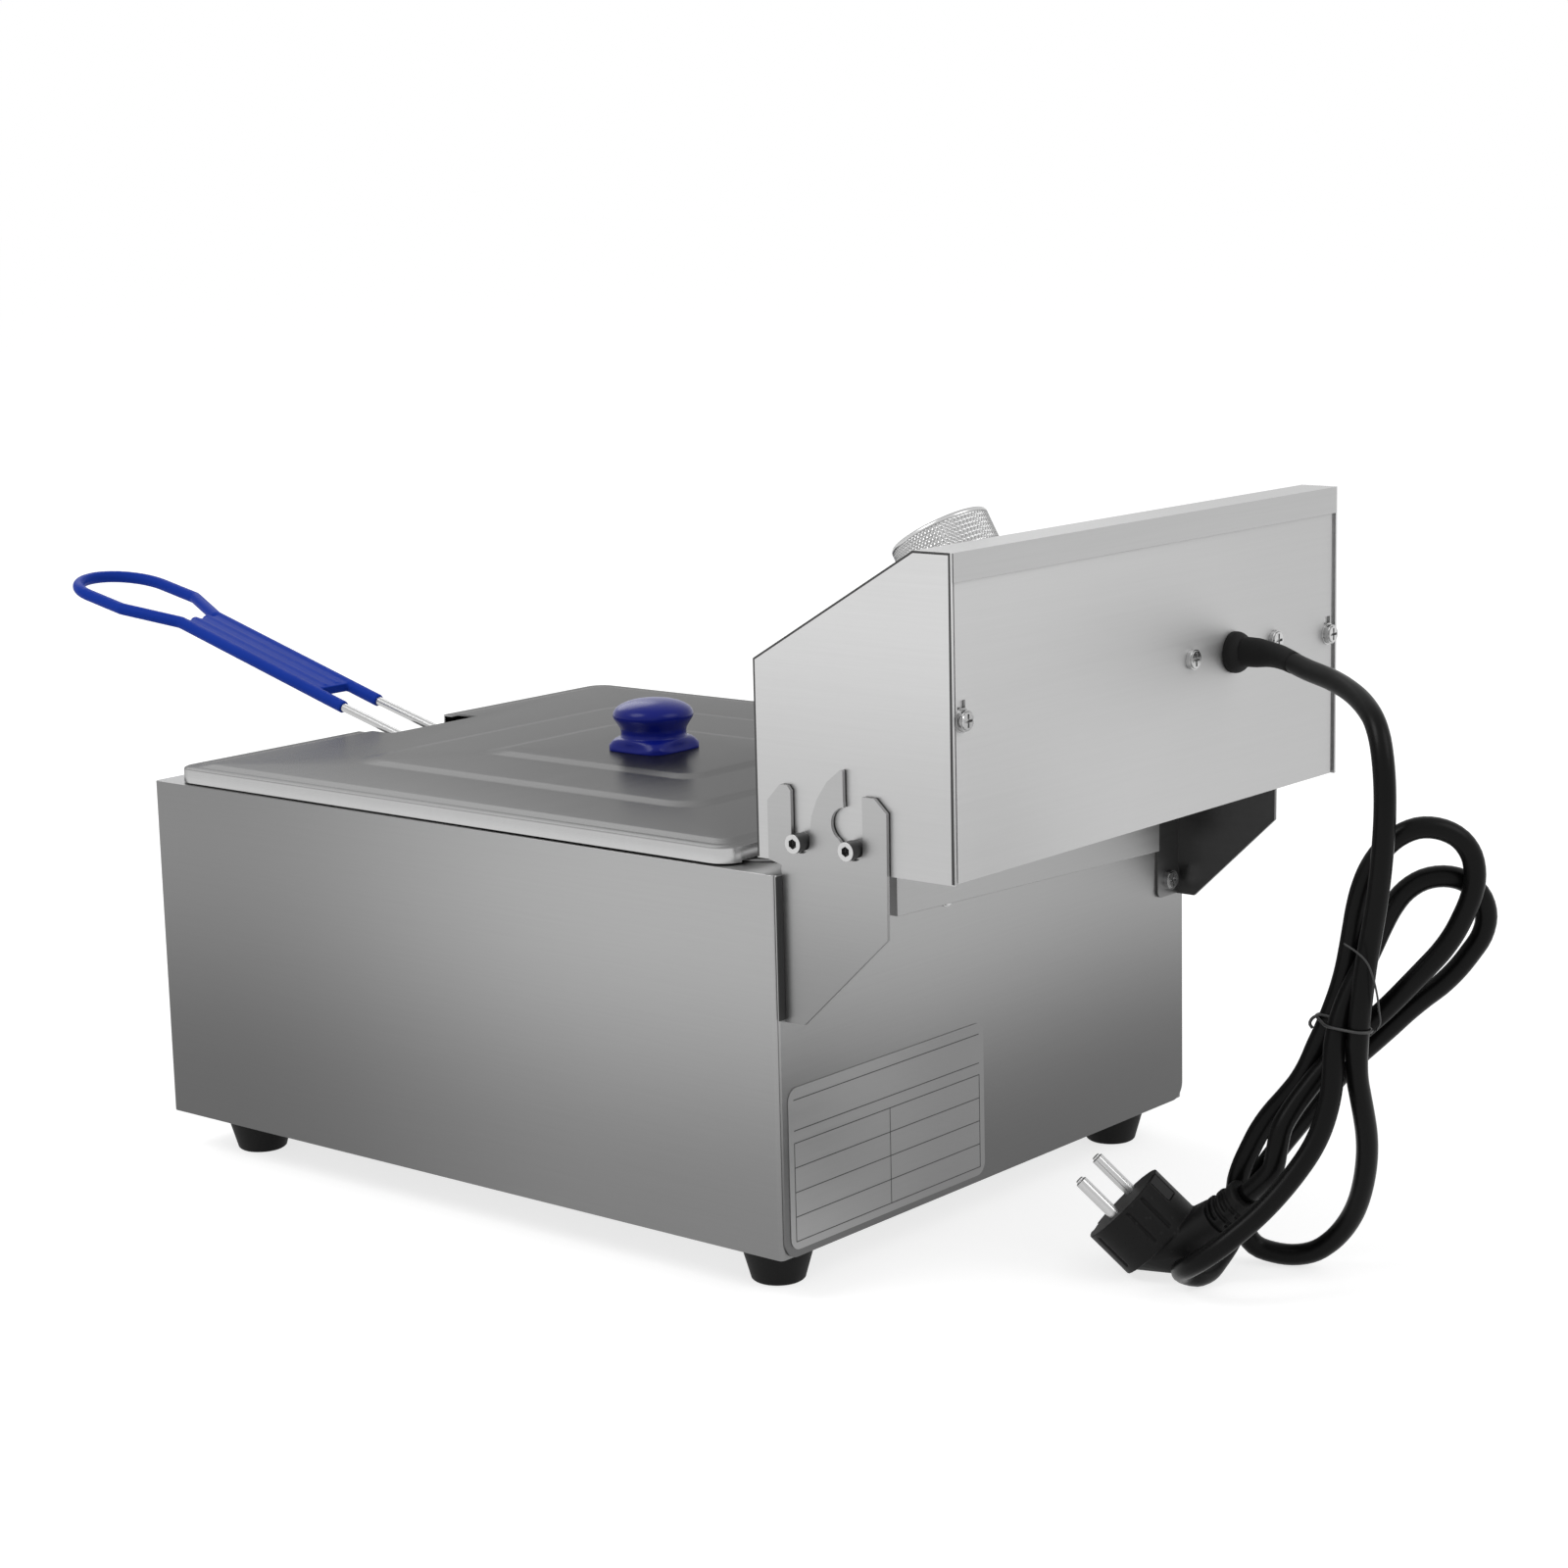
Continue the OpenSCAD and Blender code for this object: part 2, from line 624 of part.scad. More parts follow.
// capillary tube and sensing bulb, from the element box down into the oil
bulb_z = [el_z + 36, el_z + 52];
bulb_l = [70, 60];
module sensor(s, z, w) {
    at() {
        rod([s * cap_x, leg_y, z], [s * cap_x, leg_y, hz + 8], 1.3);
        translate([s * cap_x, leg_y, z]) sphere(r = 1.3);
        rod([s * cap_x, leg_y, z], [s * cap_x, leg_y - 11, z], 1.3);
        rod([s * cap_x + w / 2, leg_y - 12, z], [s * cap_x - w / 2, leg_y - 12, z], 3);
    }
}

module thermostat_bulb() color("peru") sensor(1, bulb_z[0], bulb_l[0]);

module limiter_bulb() color("peru") sensor(-1, bulb_z[1], bulb_l[1]);

module limiter_body() {
    color("black") slope(reset_x, knob_s) difference() {
        union() {
            translate([-16, -16, -cover_t - 0.2 - 24]) cube([32, 32, 24]);
            translate([0, 0, -cover_t - 1]) cylinder(r = reset_d / 2 + 1.4, h = cover_t + 1 + 1.2);
            translate([0, 0, 0.05]) cylinder(r = reset_d / 2 + 3.5, h = 1.2);
        }
        translate([0, 0, -12]) cylinder(r = reset_d / 2 + 0.05, h = 20);
    }
}

module reset_button() {
    color("darkred") slope(reset_x, knob_s, -7) cylinder(r = reset_d / 2, h = 7 + 1.25 + reset_travel + 0.6);
}

module dial_plate() {
    color("white") slope(knob_x, knob_s, 0.02) difference() {
        cylinder(r = dial_d / 2, h = 0.6);
        translate([0, 0, -1]) cylinder(r = shaft_d / 2 + 1, h = 3);
    }
}

module lamp() {
    translate([0, 0, -16]) cylinder(r = lamp_d / 2 - 1, h = 16 + 0.1);
    cylinder(r = lamp_d / 2, h = 2.4);
    translate([0, 0, 2.4 - eps]) cylinder(r = lamp_d / 2 - 1.5, h = 0.8);
}

module power_lamp() color("green") slope(lamp_x1, knob_s, 0.02) lamp();

module heating_lamp() color("orange") slope(lamp_x2, knob_s, 0.02) lamp();

// knob with a thin base flange, hollow under its face
knob_flange = 2.5;
module thermostat_knob() {
    color("silver") slope(knob_x, knob_s, 1) difference() {
        union() {
            cylinder(r = knob_d / 2 + knob_flange, h = 2);
            cylinder(r = knob_d / 2 + knob_flange - 1, h = 3);
            cylinder(r = knob_d / 2 - 1, h = knob_h);
            cylinder(r = knob_d / 2, h = knob_h - 1);
        }
        translate([0, 0, -1]) cylinder(r = shaft_d / 2 + 0.05, h = knob_h - 4);
        translate([0, 0, -1]) difference() {
            cylinder(r = knob_d / 2 - 2.5, h = knob_h - 3);
            translate([0, 0, -1]) cylinder(r = shaft_d / 2 + 3, h = knob_h);
        }
    }
}

block_x = cord_x + 6;
core_r = 1.3;
module terminal_block() {
    color("ivory") at() difference() {
        bx(block_x - 22, block_x + 22, 30, 48, hz + side_t, hz + side_t + 16);
        for (k = [-1, 0, 1]) translate([block_x + k * 14, 39, hz + side_t + 8]) cylinder(r = core_r + 0.3, h = 20);
    }
}

// cores from the clamp to the terminal block
module wiring() {
    color("brown") at() for (k = [-1, 0, 1])
        chain([[cord_x + k * 3, head_over - 24, hz + cord_z], [cord_x + k * 3, head_over - 36, hz + cord_z - 6],
            [block_x + k * 14, 39, hz + 40], [block_x + k * 14, 39, hz + side_t + 9]], core_r, 0.15);
}

module cord_grommet() {
    color("black") at() translate([cord_x, panel_y, hz + cord_z]) rotate([-90, 0, 0])
        difference() {
            union() {
                cylinder(r = grommet_d / 2, h = 3.2);
                cylinder(r = grommet_d / 2 - 1.4, h = grommet_out + 0.2);
                rotate_extrude() translate([grommet_d / 2 - 2.4, 3.2]) circle(r = 2.3, $fn = 24);
                translate([0, 0, -rear_in - 2]) cylinder(r = grommet_d / 2 - 1.55, h = rear_in + 2 + eps);
            }
            translate([0, 0, -9]) cylinder(r = cord_d / 2 + 0.05, h = 20);
        }
}

module cord_clamp() {
    y1 = panel_y - rear_in;
    color("gray") at() translate([0, 0, hz]) difference() {
        union() {
            bx(clamp_x[1] - 6, clamp_x[0] + 6, y1 - 3, y1, clamp_z - 6, clamp_z + 6);
            bx(cord_x - 9, cord_x + 9, y1 - 16, y1 - 3 + eps, cord_z - 7, cord_z + 8);
        }
        translate([cord_x, y1 - 20, cord_z]) rotate([-90, 0, 0]) cylinder(r = grommet_d / 2 - 1.5, h = 30);
        for (x = clamp_x) translate([x, y1 - 10, clamp_z]) rotate([-90, 0, 0]) cylinder(r = 2, h = 20);
    }
}

module clamp_screws() {
    color("lightgray") at() for (x = clamp_x)
        translate([x, panel_y, hz + clamp_z]) pan_screw(3.9, 8, 2.4, 7);
}

// ---------------------------------------------------------------- basket

by0 = tank_y0 + basket_front;
bz0 = g_z1 + g_r + 0.3;
bz1 = body_h - basket_drop;
basket_h = bz1 - bz0;
by1 = by0 + basket_l;
bhx = basket_w / 2;
module basket_mesh() {
    color("silver") at() difference() {
        rbox(-bhx, bhx, by0, by1, bz0, bz1, basket_r);
        rbox(-bhx + mesh_t, bhx - mesh_t, by0 + mesh_t, by1 - mesh_t, bz0 + mesh_t, bz1 + 1, basket_r - mesh_t);
    }
}

// rim wire and two hoops round the outside of the mesh
module ring_wire(z, r, grow) {
    x = bhx + grow;
    a = by0 - grow;
    b = by1 + grow;
    q = basket_r + grow;
    for (s = [-1, 1]) {
        rod([s * x, a + q, z], [s * x, b - q, z], r);
        for (y = [a + q, b - q]) translate([s * (x - q), y, z])
            rotate([0, 0, (s > 0 ? 0 : 90) + (y > (a + b) / 2 ? 0 : (s > 0 ? -90 : 90))])
                rotate_extrude(angle = 90, $fn = 48) translate([q, 0]) circle(r = r, $fn = 24);
    }
    for (y = [a, b]) rod([-x + q, y, z], [x - q, y, z], r);
}

module basket_frame() {
    color("lightgray") at() {
        ring_wire(bz1 + rim_wire / 2, rim_wire / 2, 0);
        ring_wire(bz0 + basket_h * 0.45, 1.5, 1.55);
        ring_wire(bz0 + 2, 1.5, 1.55);
    }
}

// hook at the rear rim, which hangs the basket on the head to drain
hook_x = 24;
module basket_hook() {
    color("lightgray") at() {
        y = by1 + rim_wire / 2 + 2.05;
        z1 = bz1 + rim_wire / 2;
        for (s = [-1, 1]) rod([s * hook_x, y, bz1 - 34], [s * hook_x, y, z1], 2);
        for (s = [-1, 1]) translate([s * hook_x, y, z1]) sphere(r = 2);
        rod([-hook_x, y, z1], [hook_x, y, z1], 2);
    }
}

wy = by0 - rim_wire / 2 - handle_wire / 2 - 0.05;
wz = body_h + rim_t + handle_wire / 2 + 0.4;
hw = handle_wire / 2;
hg = handle_gap / 2;
grip_dir = [0, -cos(grip_pitch), sin(grip_pitch)];
loop_dir = [0, -cos(loop_pitch), sin(loop_pitch)];
grip_start = [0, grip_y0, grip_z0];
grip_end = [0, web_end[0], web_end[1]];
module handle_wires() {
    color("silver") at() for (s = [-1, 1])
        chain([[s * hg, wy, bz1 - 34], [s * hg, wy, wz], [s * hg, grip_y0 + 37, wz],
            grip_start + [s * hg, 0, 0]], hw);
}

// coated grip: two outer rods joined by a web with two ridges, then an open loop
loop_flare = 30;
module handle_grip() {
    r = grip_d / 2;
    a = grip_start + grip_dir * 0.06;
    b = grip_end;
    q = loop_w / 2;
    k = loop_l - q;
    color("mediumblue") at() {
        for (s = [-1, 1]) {
            chain([a + [s * hg, 0, 0], b + [s * hg, 0, 0], b + loop_dir * loop_flare + [s * q, 0, 0],
                b + loop_dir * k + [s * q, 0, 0]], r);
            rod(a + grip_dir * 22 + [s * hg / 3, 0, 0], b - grip_dir * 2 + [s * hg / 3, 0, 0], r * 0.9);
            translate(b + loop_dir * k + [s * q, 0, 0]) sphere(r = r + 0.03);
            translate(a + grip_dir * 22 + [s * hg / 3, 0, 0]) sphere(r = r * 0.9 + 0.03);
            translate(b - grip_dir * 2 + [s * hg / 3, 0, 0]) sphere(r = r * 0.9 + 0.03);
        }
        translate(a) rotate([-grip_pitch, 0, 0])
            bx(-hg, hg, -grip_l + 3, -19, -r * 0.75, r * 0.75);
        // end of the loop
        translate(b + loop_dir * k) rotate([-loop_pitch, 0, 0]) rotate([0, 0, 180])
            rotate_extrude(angle = 180, $fn = 64) translate([q, 0]) circle(r = r, $fn = 32);
    }
}

// ---------------------------------------------------------------- lid

lx = lid_w / 2;
ly0 = -lid_rear - lid_l;
ly1 = -lid_rear;
lz1 = lid_z + lid_lip;
lid_mid = (ly0 + ly1) / 2;
module lid_panel() {
    color("silver") at() difference() {
        union() {
            rbox(-lx, lx, ly0, ly1, lid_z, lz1, 9);
            rbox(-lx + 5, lx - 5, ly0 + 5, ly1 - 5, lz1 - eps, lz1 + lid_step, 6);
            rbox(-86, 86, lid_mid - 98, lid_mid + 98, lz1 + lid_step - eps, lz1 + 2 * lid_step, 15);
            rbox(-44, 44, lid_mid - 60, lid_mid + 60, lz1 + 2 * lid_step - eps, lz1 + 3 * lid_step, 10);
        }
        rbox(-lx + lid_t, lx - lid_t, ly0 + lid_t, ly1 - lid_t, lid_z - 1, lz1 - lid_t, 8);
        rbox(-lx + 6, lx - 6, ly0 + 6, ly1 - 6, lz1 - lid_t - eps, lz1 + lid_step - lid_t, 5);
        rbox(-85, 85, lid_mid - 97, lid_mid + 97, lz1, lz1 + 2 * lid_step - lid_t, 14);
        rbox(-43, 43, lid_mid - 59, lid_mid + 59, lz1, lz1 + 3 * lid_step - lid_t, 9);
        // notch for the basket's handle
        bx(-notch_w / 2, notch_w / 2, ly0 - 1, ly0 + notch_l, lid_z - 1, lz1 + lid_step + 1);
        // the rear lip clears the tank's rim
        bx(-tank_w / 2 - tank_rim - 2, tank_w / 2 + tank_rim + 2, ly1 - 2, ly1 + 1, lid_z - 1, body_h + rim_t + 0.3);
        translate([0, lid_mid, lid_z - 1]) cylinder(r = 2.3, h = 20);
    }
}

knob_z = lz1 + 3 * lid_step;
module lid_knob() {
    r = lidknob_d / 2;
    h = lidknob_h;
    f = lidknob_foot / 2;
    color("navy") at() translate([0, lid_mid, knob_z + 0.05]) difference() {
        union() {
            rotate_extrude($fn = 64) polygon([[0, 0], [r * 0.83, 0], [r * 0.83, h * 0.4], [r * 0.88, h * 0.52],
                [r * 0.97, h * 0.64], [r, h * 0.72], [r * 0.97, h * 0.8], [r * 0.85, h * 0.89],
                [r * 0.62, h * 0.96], [r * 0.32, h * 0.99], [0, h]]);
            hull() {
                rbox(-f, f, -f, f, 0, 1.2, 6, $fn = 32);
                translate([0, 0, h * 0.3]) cylinder(r = r * 0.83, h = 0.5, $fn = 32);
            }
        }
        translate([0, 0, -1]) cylinder(r = 2, h = 12);
    }
}

module lid_knob_screw() {
    color("lightgray") at() translate([0, lid_mid, knob_z]) {
        translate([0, 0, -lid_t - 2.6]) cylinder(r = 4, h = 2.6);
        translate([0, 0, -lid_t - 1]) cylinder(r = 1.95, h = lid_t + 10);
    }
}

// ---------------------------------------------------------------- cord and plug

// the hank stands in an upright plane behind the body: u runs back and to the left, v up from the floor,
// w out of the plane
plane_a = 130.1;
hank_o = [73.6, 62, 0];
module hank_plane() translate([0, yb, 0]) translate(hank_o) rotate([0, 0, plane_a]) rotate([90, 0, 0]) children();

// centre points of the free lead, from the grommet to the top of the hank
lead_y0 = head_over + grommet_out - 3;
lead_pts = [[cord_x, lead_y0, foot_h + hz + cord_z], [cord_x, lead_y0 + 12, foot_h + hz + cord_z],
    [-45, 107, 227.5], [-29, 137, 224.5], [-16, 156, 220], [-5, 168.5, 210], [-0.5, 172.5, 190],
    [-1.5, 172.5, 165], [-0.5, 168.5, 140], [1.5, 166, 117.2]];

// Chaikin corner cutting, which keeps both ends
function cut(p) = concat([p[0]], [for (i = [0:len(p) - 2]) each
    [p[i] * 0.75 + p[i + 1] * 0.25, p[i] * 0.25 + p[i + 1] * 0.75]], [p[len(p) - 1]]);
lead_path = cut(cut(lead_pts));
function unit(v) = v / norm(v);
function dir(p, i) = unit(i == 0 ? p[1] - p[0] : i == len(p) - 1 ? p[i] - p[i - 1] : p[i + 1] - p[i - 1]);
function ring(p, i, r, n) = let (d = dir(p, i), a = unit(cross(d, [1, 0.2, 0.1])), b = cross(d, a))
    [for (k = [0:n - 1]) p[i] + r * (a * cos(k * 360 / n) + b * sin(k * 360 / n))];
module sweep(p, r, n = 10) {
    m = len(p);
    pts = [for (i = [0:m - 1]) each ring(p, i, r, n)];
    sides = [for (i = [0:m - 2]) for (k = [0:n - 1])
        [i * n + k, i * n + (k + 1) % n, (i + 1) * n + (k + 1) % n, (i + 1) * n + k]];
    polyhedron(points = pts, faces = concat([[for (k = [n - 1:-1:0]) k]], sides,
        [[for (k = [0:n - 1]) (m - 1) * n + k]]));
}

module cord_lead() color("black") translate([0, yb, 0]) sweep(lead_path, cord_d / 2);

// outer shape of the folded cord, seen square to its plane, with a thicker waist where it is tied
hank_t = cord_d * 2.4;
waist = [109, 136, 76, 117];
module cord_hank() {
    color("black") hank_plane() {
        translate([0, 0, -hank_t / 2]) linear_extrude(hank_t) {
            hull() {
                translate([122, 103]) circle(r = 12, $fn = 32);
                translate([148, 159]) circle(r = 21, $fn = 32);
                translate([158, 141]) circle(r = 21.5, $fn = 32);
            }
            hull() {
                translate([122, 92]) circle(r = 12, $fn = 32);
                translate([112, 30]) circle(r = 21.5, $fn = 32);
                translate([104, 12.3]) circle(r = 12, $fn = 32);
                translate([98, 46]) circle(r = 9, $fn = 32);
            }
        }
        translate([waist[0], waist[2], -hank_t / 2])
            cube([waist[1] - waist[0], waist[3] - waist[2], hank_t + cord_d + 0.8]);
    }
}

// twist tie round the waist
tie_w = 2;
module cord_ties() {
    color("dimgray") hank_plane() difference() {
        translate([waist[0] - 0.3 - tie_w, 93, -hank_t / 2 - 0.3 - tie_w])
            cube([waist[1] - waist[0] + 0.6 + 2 * tie_w, tie_w, hank_t + cord_d + 1.4 + 2 * tie_w]);
        translate([waist[0] - 0.3, 92, -hank_t / 2 - 0.3])
            cube([waist[1] - waist[0] + 0.6, tie_w + 2, hank_t + cord_d + 1.4]);
    }
}

// angled plug: x along the cord outlet, y out of the face, z from pin to pin
plug_o = [42, 27.4, -22.6];
plug_r = 17.8;
plug_deep = 20;
boot_y = -28;
boot_l = 41;
plug_pitch = 19;
module plug_at() hank_plane() translate(plug_o) rotate([0, 0, 49.5]) rotate([0, -25, 0]) rotate([-10.8, 0, 0])
    children();

module plug_body() {
    color("black") plug_at() difference() {
        union() {
            translate([0, -plug_deep, 0]) rotate([-90, 0, 0]) cylinder(r = plug_r, h = plug_deep);
            hull() {
                translate([0.5, -plug_deep - 0.5, 0]) rotate([-90, 0, 0]) cylinder(r = plug_r - 2.4, h = 1, $fn = 32);
                translate([2, boot_y - 7.5, -7]) cube([16, 1, 14]);
                translate([25, boot_y, 0]) rotate([0, 90, 0]) cylinder(r = 8.4, h = 1, $fn = 32);
            }
            translate([24, boot_y, 0]) rotate([0, 90, 0]) cylinder(r = 6.6, h = boot_l - 24);
            for (k = [0:2]) translate([27.5 + k * 5, boot_y, 0]) rotate([0, 90, 0])
                cylinder(r = 8.2 - k * 0.4, h = 3.2);
        }
        for (s = [-1, 1]) translate([0, -6, s * plug_pitch / 2]) rotate([-90, 0, 0])
            cylinder(r = plug_pin_d / 2 + 0.02, h = 7);
        for (s = [-1, 1]) translate([s * (plug_r - 1), -5, 0]) cube([2.4, 11, 6.4], center = true);
    }
}

module plug_pins() {
    color("silver") plug_at() for (s = [-1, 1]) translate([0, -6, s * plug_pitch / 2]) rotate([-90, 0, 0]) {
        cylinder(r = plug_pin_d / 2, h = 6 + plug_pin_l - 1);
        cylinder(r = plug_pin_d / 2 - 0.8, h = 6 + plug_pin_l);
    }
}

// earth contacts at the two ends of the face
module plug_contacts() {
    color("silver") plug_at() for (s = [-1, 1])
        translate([s * (plug_r - 1.2), -5.3, 0]) cube([1.6, 9.8, 6], center = true);
}

outer_casing();
rear_panel();
base_plate();
tank();
rear_apron();
rear_panel_screws();
bracket_right();
bracket_left();
bracket_screws();
label_plate();
feet();
foot_screws();
head_chassis();
control_cover();
head_rear_panel();
head_panel_screws();
pivot_pins();
element_box();
heating_element();
element_guard();
thermostat_body();
thermostat_bulb();
limiter_body();
limiter_bulb();
dial_plate();
power_lamp();
heating_lamp();
terminal_block();
wiring();
cord_grommet();
cord_clamp();
clamp_screws();
thermostat_knob();
reset_button();
basket_mesh();
basket_frame();
basket_hook();
handle_wires();
handle_grip();
lid_panel();
lid_knob();
lid_knob_screw();
cord_lead();
cord_hank();
cord_ties();
plug_body();
plug_pins();
plug_contacts();
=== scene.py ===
import bpy, bmesh, json, math
import numpy as np
from mathutils import Vector, Matrix


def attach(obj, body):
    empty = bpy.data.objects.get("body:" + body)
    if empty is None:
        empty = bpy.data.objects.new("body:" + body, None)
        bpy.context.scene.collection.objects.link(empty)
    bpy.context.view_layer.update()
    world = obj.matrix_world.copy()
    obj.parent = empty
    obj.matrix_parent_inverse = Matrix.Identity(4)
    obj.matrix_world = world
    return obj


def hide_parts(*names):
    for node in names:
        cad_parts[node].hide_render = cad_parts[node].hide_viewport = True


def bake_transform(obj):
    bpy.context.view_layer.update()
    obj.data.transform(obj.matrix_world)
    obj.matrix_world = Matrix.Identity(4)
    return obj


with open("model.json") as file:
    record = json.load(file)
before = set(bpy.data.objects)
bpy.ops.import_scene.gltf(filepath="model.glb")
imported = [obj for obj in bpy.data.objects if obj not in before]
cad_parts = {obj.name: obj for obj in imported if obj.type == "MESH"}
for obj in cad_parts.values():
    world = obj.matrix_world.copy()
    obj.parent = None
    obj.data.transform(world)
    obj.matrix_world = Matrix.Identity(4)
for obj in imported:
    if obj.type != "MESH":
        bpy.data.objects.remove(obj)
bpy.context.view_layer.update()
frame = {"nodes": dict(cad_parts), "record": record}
N = frame["nodes"]
C = bpy.context
COL = C.scene.collection

# in mm: from the origin back to the rear panel's plane, and the height of the feet
YB, FT = 236.127, 17.0
# in mm, measured as P does: the head's underside, the lid's rim and middle, the grommet across
HEAD_Z, LID_Z, LID_Y, GROMMET_X = 151.5, 153.8, -180.5, -52.7
# in m: the casing's underside and top
LOW, TOP = 0.017, 0.164


def P(x, y, z):
    """A point in mm (across, behind the rear panel, above the casing's underside), in m in the shared frame."""
    return Vector((x, y + YB, z + FT)) / 1000


# ------------------------------------------------------------------ camera

cam = bpy.data.cameras.new("camera")
cam.lens, cam.sensor_width, cam.sensor_fit = 75.31, 36, "HORIZONTAL"
cam.clip_start, cam.clip_end = 0.05, 60
camera = bpy.data.objects.new("camera", cam)
COL.objects.link(camera)
right = Vector((-0.64086644, 0.76727246, -0.02414916))
up = Vector((-0.15711002, -0.10030415, 0.98247418))
back = Vector((0.75140312, 0.63342880, 0.18482775))
turned = Matrix((right, up, back)).transposed().to_4x4()
camera.matrix_world = Matrix.Translation((1.02278, 0.990057, 0.41701)) @ turned
C.scene.camera = camera

# ------------------------------------------------------------------ materials


class Mat:
    """A procedural material: a base colour with stretched grain, soft clouds and painted light and shade as
    slow changes along an axis.

    metal, spec, edge, coat: metalness, specular level, specular tint, weight of a clear coat
    grain: scale of the fine noise, one number or one per axis; ga, gr: its share in colour and roughness
    cloud: scale of the broad noise; ca, cr: its share in colour and roughness
    painted_shading: painted light and shade, as changes (axis, from, to, factor at from, factor at to), places
    in m
    speck, wear, hollow_shade: dark specks, brighter edges, painted shade in hollows
    bump, dist: strength and height of the grain's relief
    aniso, arot: how far the shine stretches along the brushing, and its turn
    """

    def __init__(self, name, rgb, rough, metal=0.0, spec=0.5, edge=1.0, coat=0.0, grain=1, ga=0.1, gr=0.1,
                 cloud=12.0, ca=0.06, cr=0.04, painted_shading=(), speck=0.0, wear=0.0, hollow_shade=0.0, bump=0.1,
                 dist=0.00005, aniso=0.0, arot=0.0):
        m = self.m = bpy.data.materials.new(name)
        m.use_nodes = True
        m.diffuse_color = (*rgb, 1)
        self.t = m.node_tree
        b = self.b = self.t.nodes["Principled BSDF"]
        for key, value in (("Metallic", metal), ("Specular IOR Level", spec), ("Coat Weight", coat),
                           ("Specular Tint", (edge, edge, edge, 1))):
            b.inputs[key].default_value = value
        if coat:
            b.inputs["Coat Roughness"].default_value = 0.12
        tc = self.n("ShaderNodeTexCoord").outputs["Object"]
        mp = self.n("ShaderNodeMapping")
        mp.inputs["Scale"].default_value = grain if isinstance(grain, tuple) else (grain,) * 3
        self.link(tc, mp.inputs["Vector"])
        fine = self.noise(mp.outputs[0], 1.0, 3, 0.6)
        broad = self.noise(tc, cloud, 2, 0.5)
        f = self.lin(fine, ga, 1 - ga / 2)
        f = self.op("MULTIPLY", f, self.lin(broad, ca, 1 - ca / 2))
        sep = self.n("ShaderNodeSeparateXYZ")
        self.link(tc, sep.inputs[0])
        # painted light and shade: the colour made lighter or darker along an axis
        for ax, *ends in painted_shading:
            f = self.op("MULTIPLY", f, self.ramp(sep.outputs[ax], *ends, "SMOOTHERSTEP"))
        bent = self.n("ShaderNodeNewGeometry").outputs["Pointiness"] if wear or hollow_shade else None
        if wear:
            f = self.op("MULTIPLY", f, self.ramp(bent, 0.5, 0.58, 1, 1 + wear))
        # painted shade: hollows darker
        if hollow_shade:
            f = self.op("MULTIPLY", f, self.ramp(bent, 0.42, 0.5, 1 - hollow_shade, 1))
        if speck:
            f = self.op("MULTIPLY", f, self.ramp(self.noise(tc, 900, 2, 0.5), 0.66, 0.74, 1, 1 - speck))
        colour = self.n("ShaderNodeVectorMath")
        colour.operation = "SCALE"
        colour.inputs[0].default_value = rgb
        self.link(f, colour.inputs["Scale"])
        self.link(colour.outputs[0], b.inputs["Base Color"])
        ro = self.op("ADD", self.lin(fine, gr, rough - gr / 2), self.lin(broad, cr, -cr / 2))
        self.link(ro, b.inputs["Roughness"])
        if bump:
            bp = self.n("ShaderNodeBump")
            bp.inputs["Strength"].default_value = bump
            bp.inputs["Distance"].default_value = dist
            self.link(fine, bp.inputs["Height"])
            self.link(bp.outputs[0], b.inputs["Normal"])
        if aniso:
            b.inputs["Anisotropic"].default_value = aniso
            b.inputs["Anisotropic Rotation"].default_value = arot
            tg = self.n("ShaderNodeTangent")
            tg.direction_type, tg.axis = "RADIAL", "Z"
            self.link(tg.outputs[0], b.inputs["Tangent"])

    def n(self, kind):
        return self.t.nodes.new(kind)

    def link(self, a, b):
        self.t.links.new(a, b)

    def noise(self, vec, scale, detail, rough):
        n = self.n("ShaderNodeTexNoise")
        n.inputs["Scale"].default_value = scale
        n.inputs["Detail"].default_value = detail
        n.inputs["Roughness"].default_value = rough
        self.link(vec, n.inputs["Vector"])
        return n.outputs[0]

    def ramp(self, value, lo, hi, a, c, kind="LINEAR"):
        """a where the value is lo or less, c where it is hi or more."""
        r = self.n("ShaderNodeMapRange")
        r.interpolation_type = kind
        for i, v in zip(("From Min", "From Max", "To Min", "To Max"), (lo, hi, a, c)):
            r.inputs[i].default_value = v
        self.link(value, r.inputs["Value"])
        return r.outputs[0]

    def op(self, kind, a, b):
        n = self.n("ShaderNodeMath")
        n.operation = kind
        self.link(a, n.inputs[0])
        self.link(b, n.inputs[1])
        return n.outputs[0]

    def lin(self, a, k, c):
        """a * k + c"""
        n = self.n("ShaderNodeMath")
        n.operation = "MULTIPLY_ADD"
        self.link(a, n.inputs[0])
        n.inputs[1].default_value, n.inputs[2].default_value = k, c
        return n.outputs[0]


def grey(v):
    return (v, v, v)


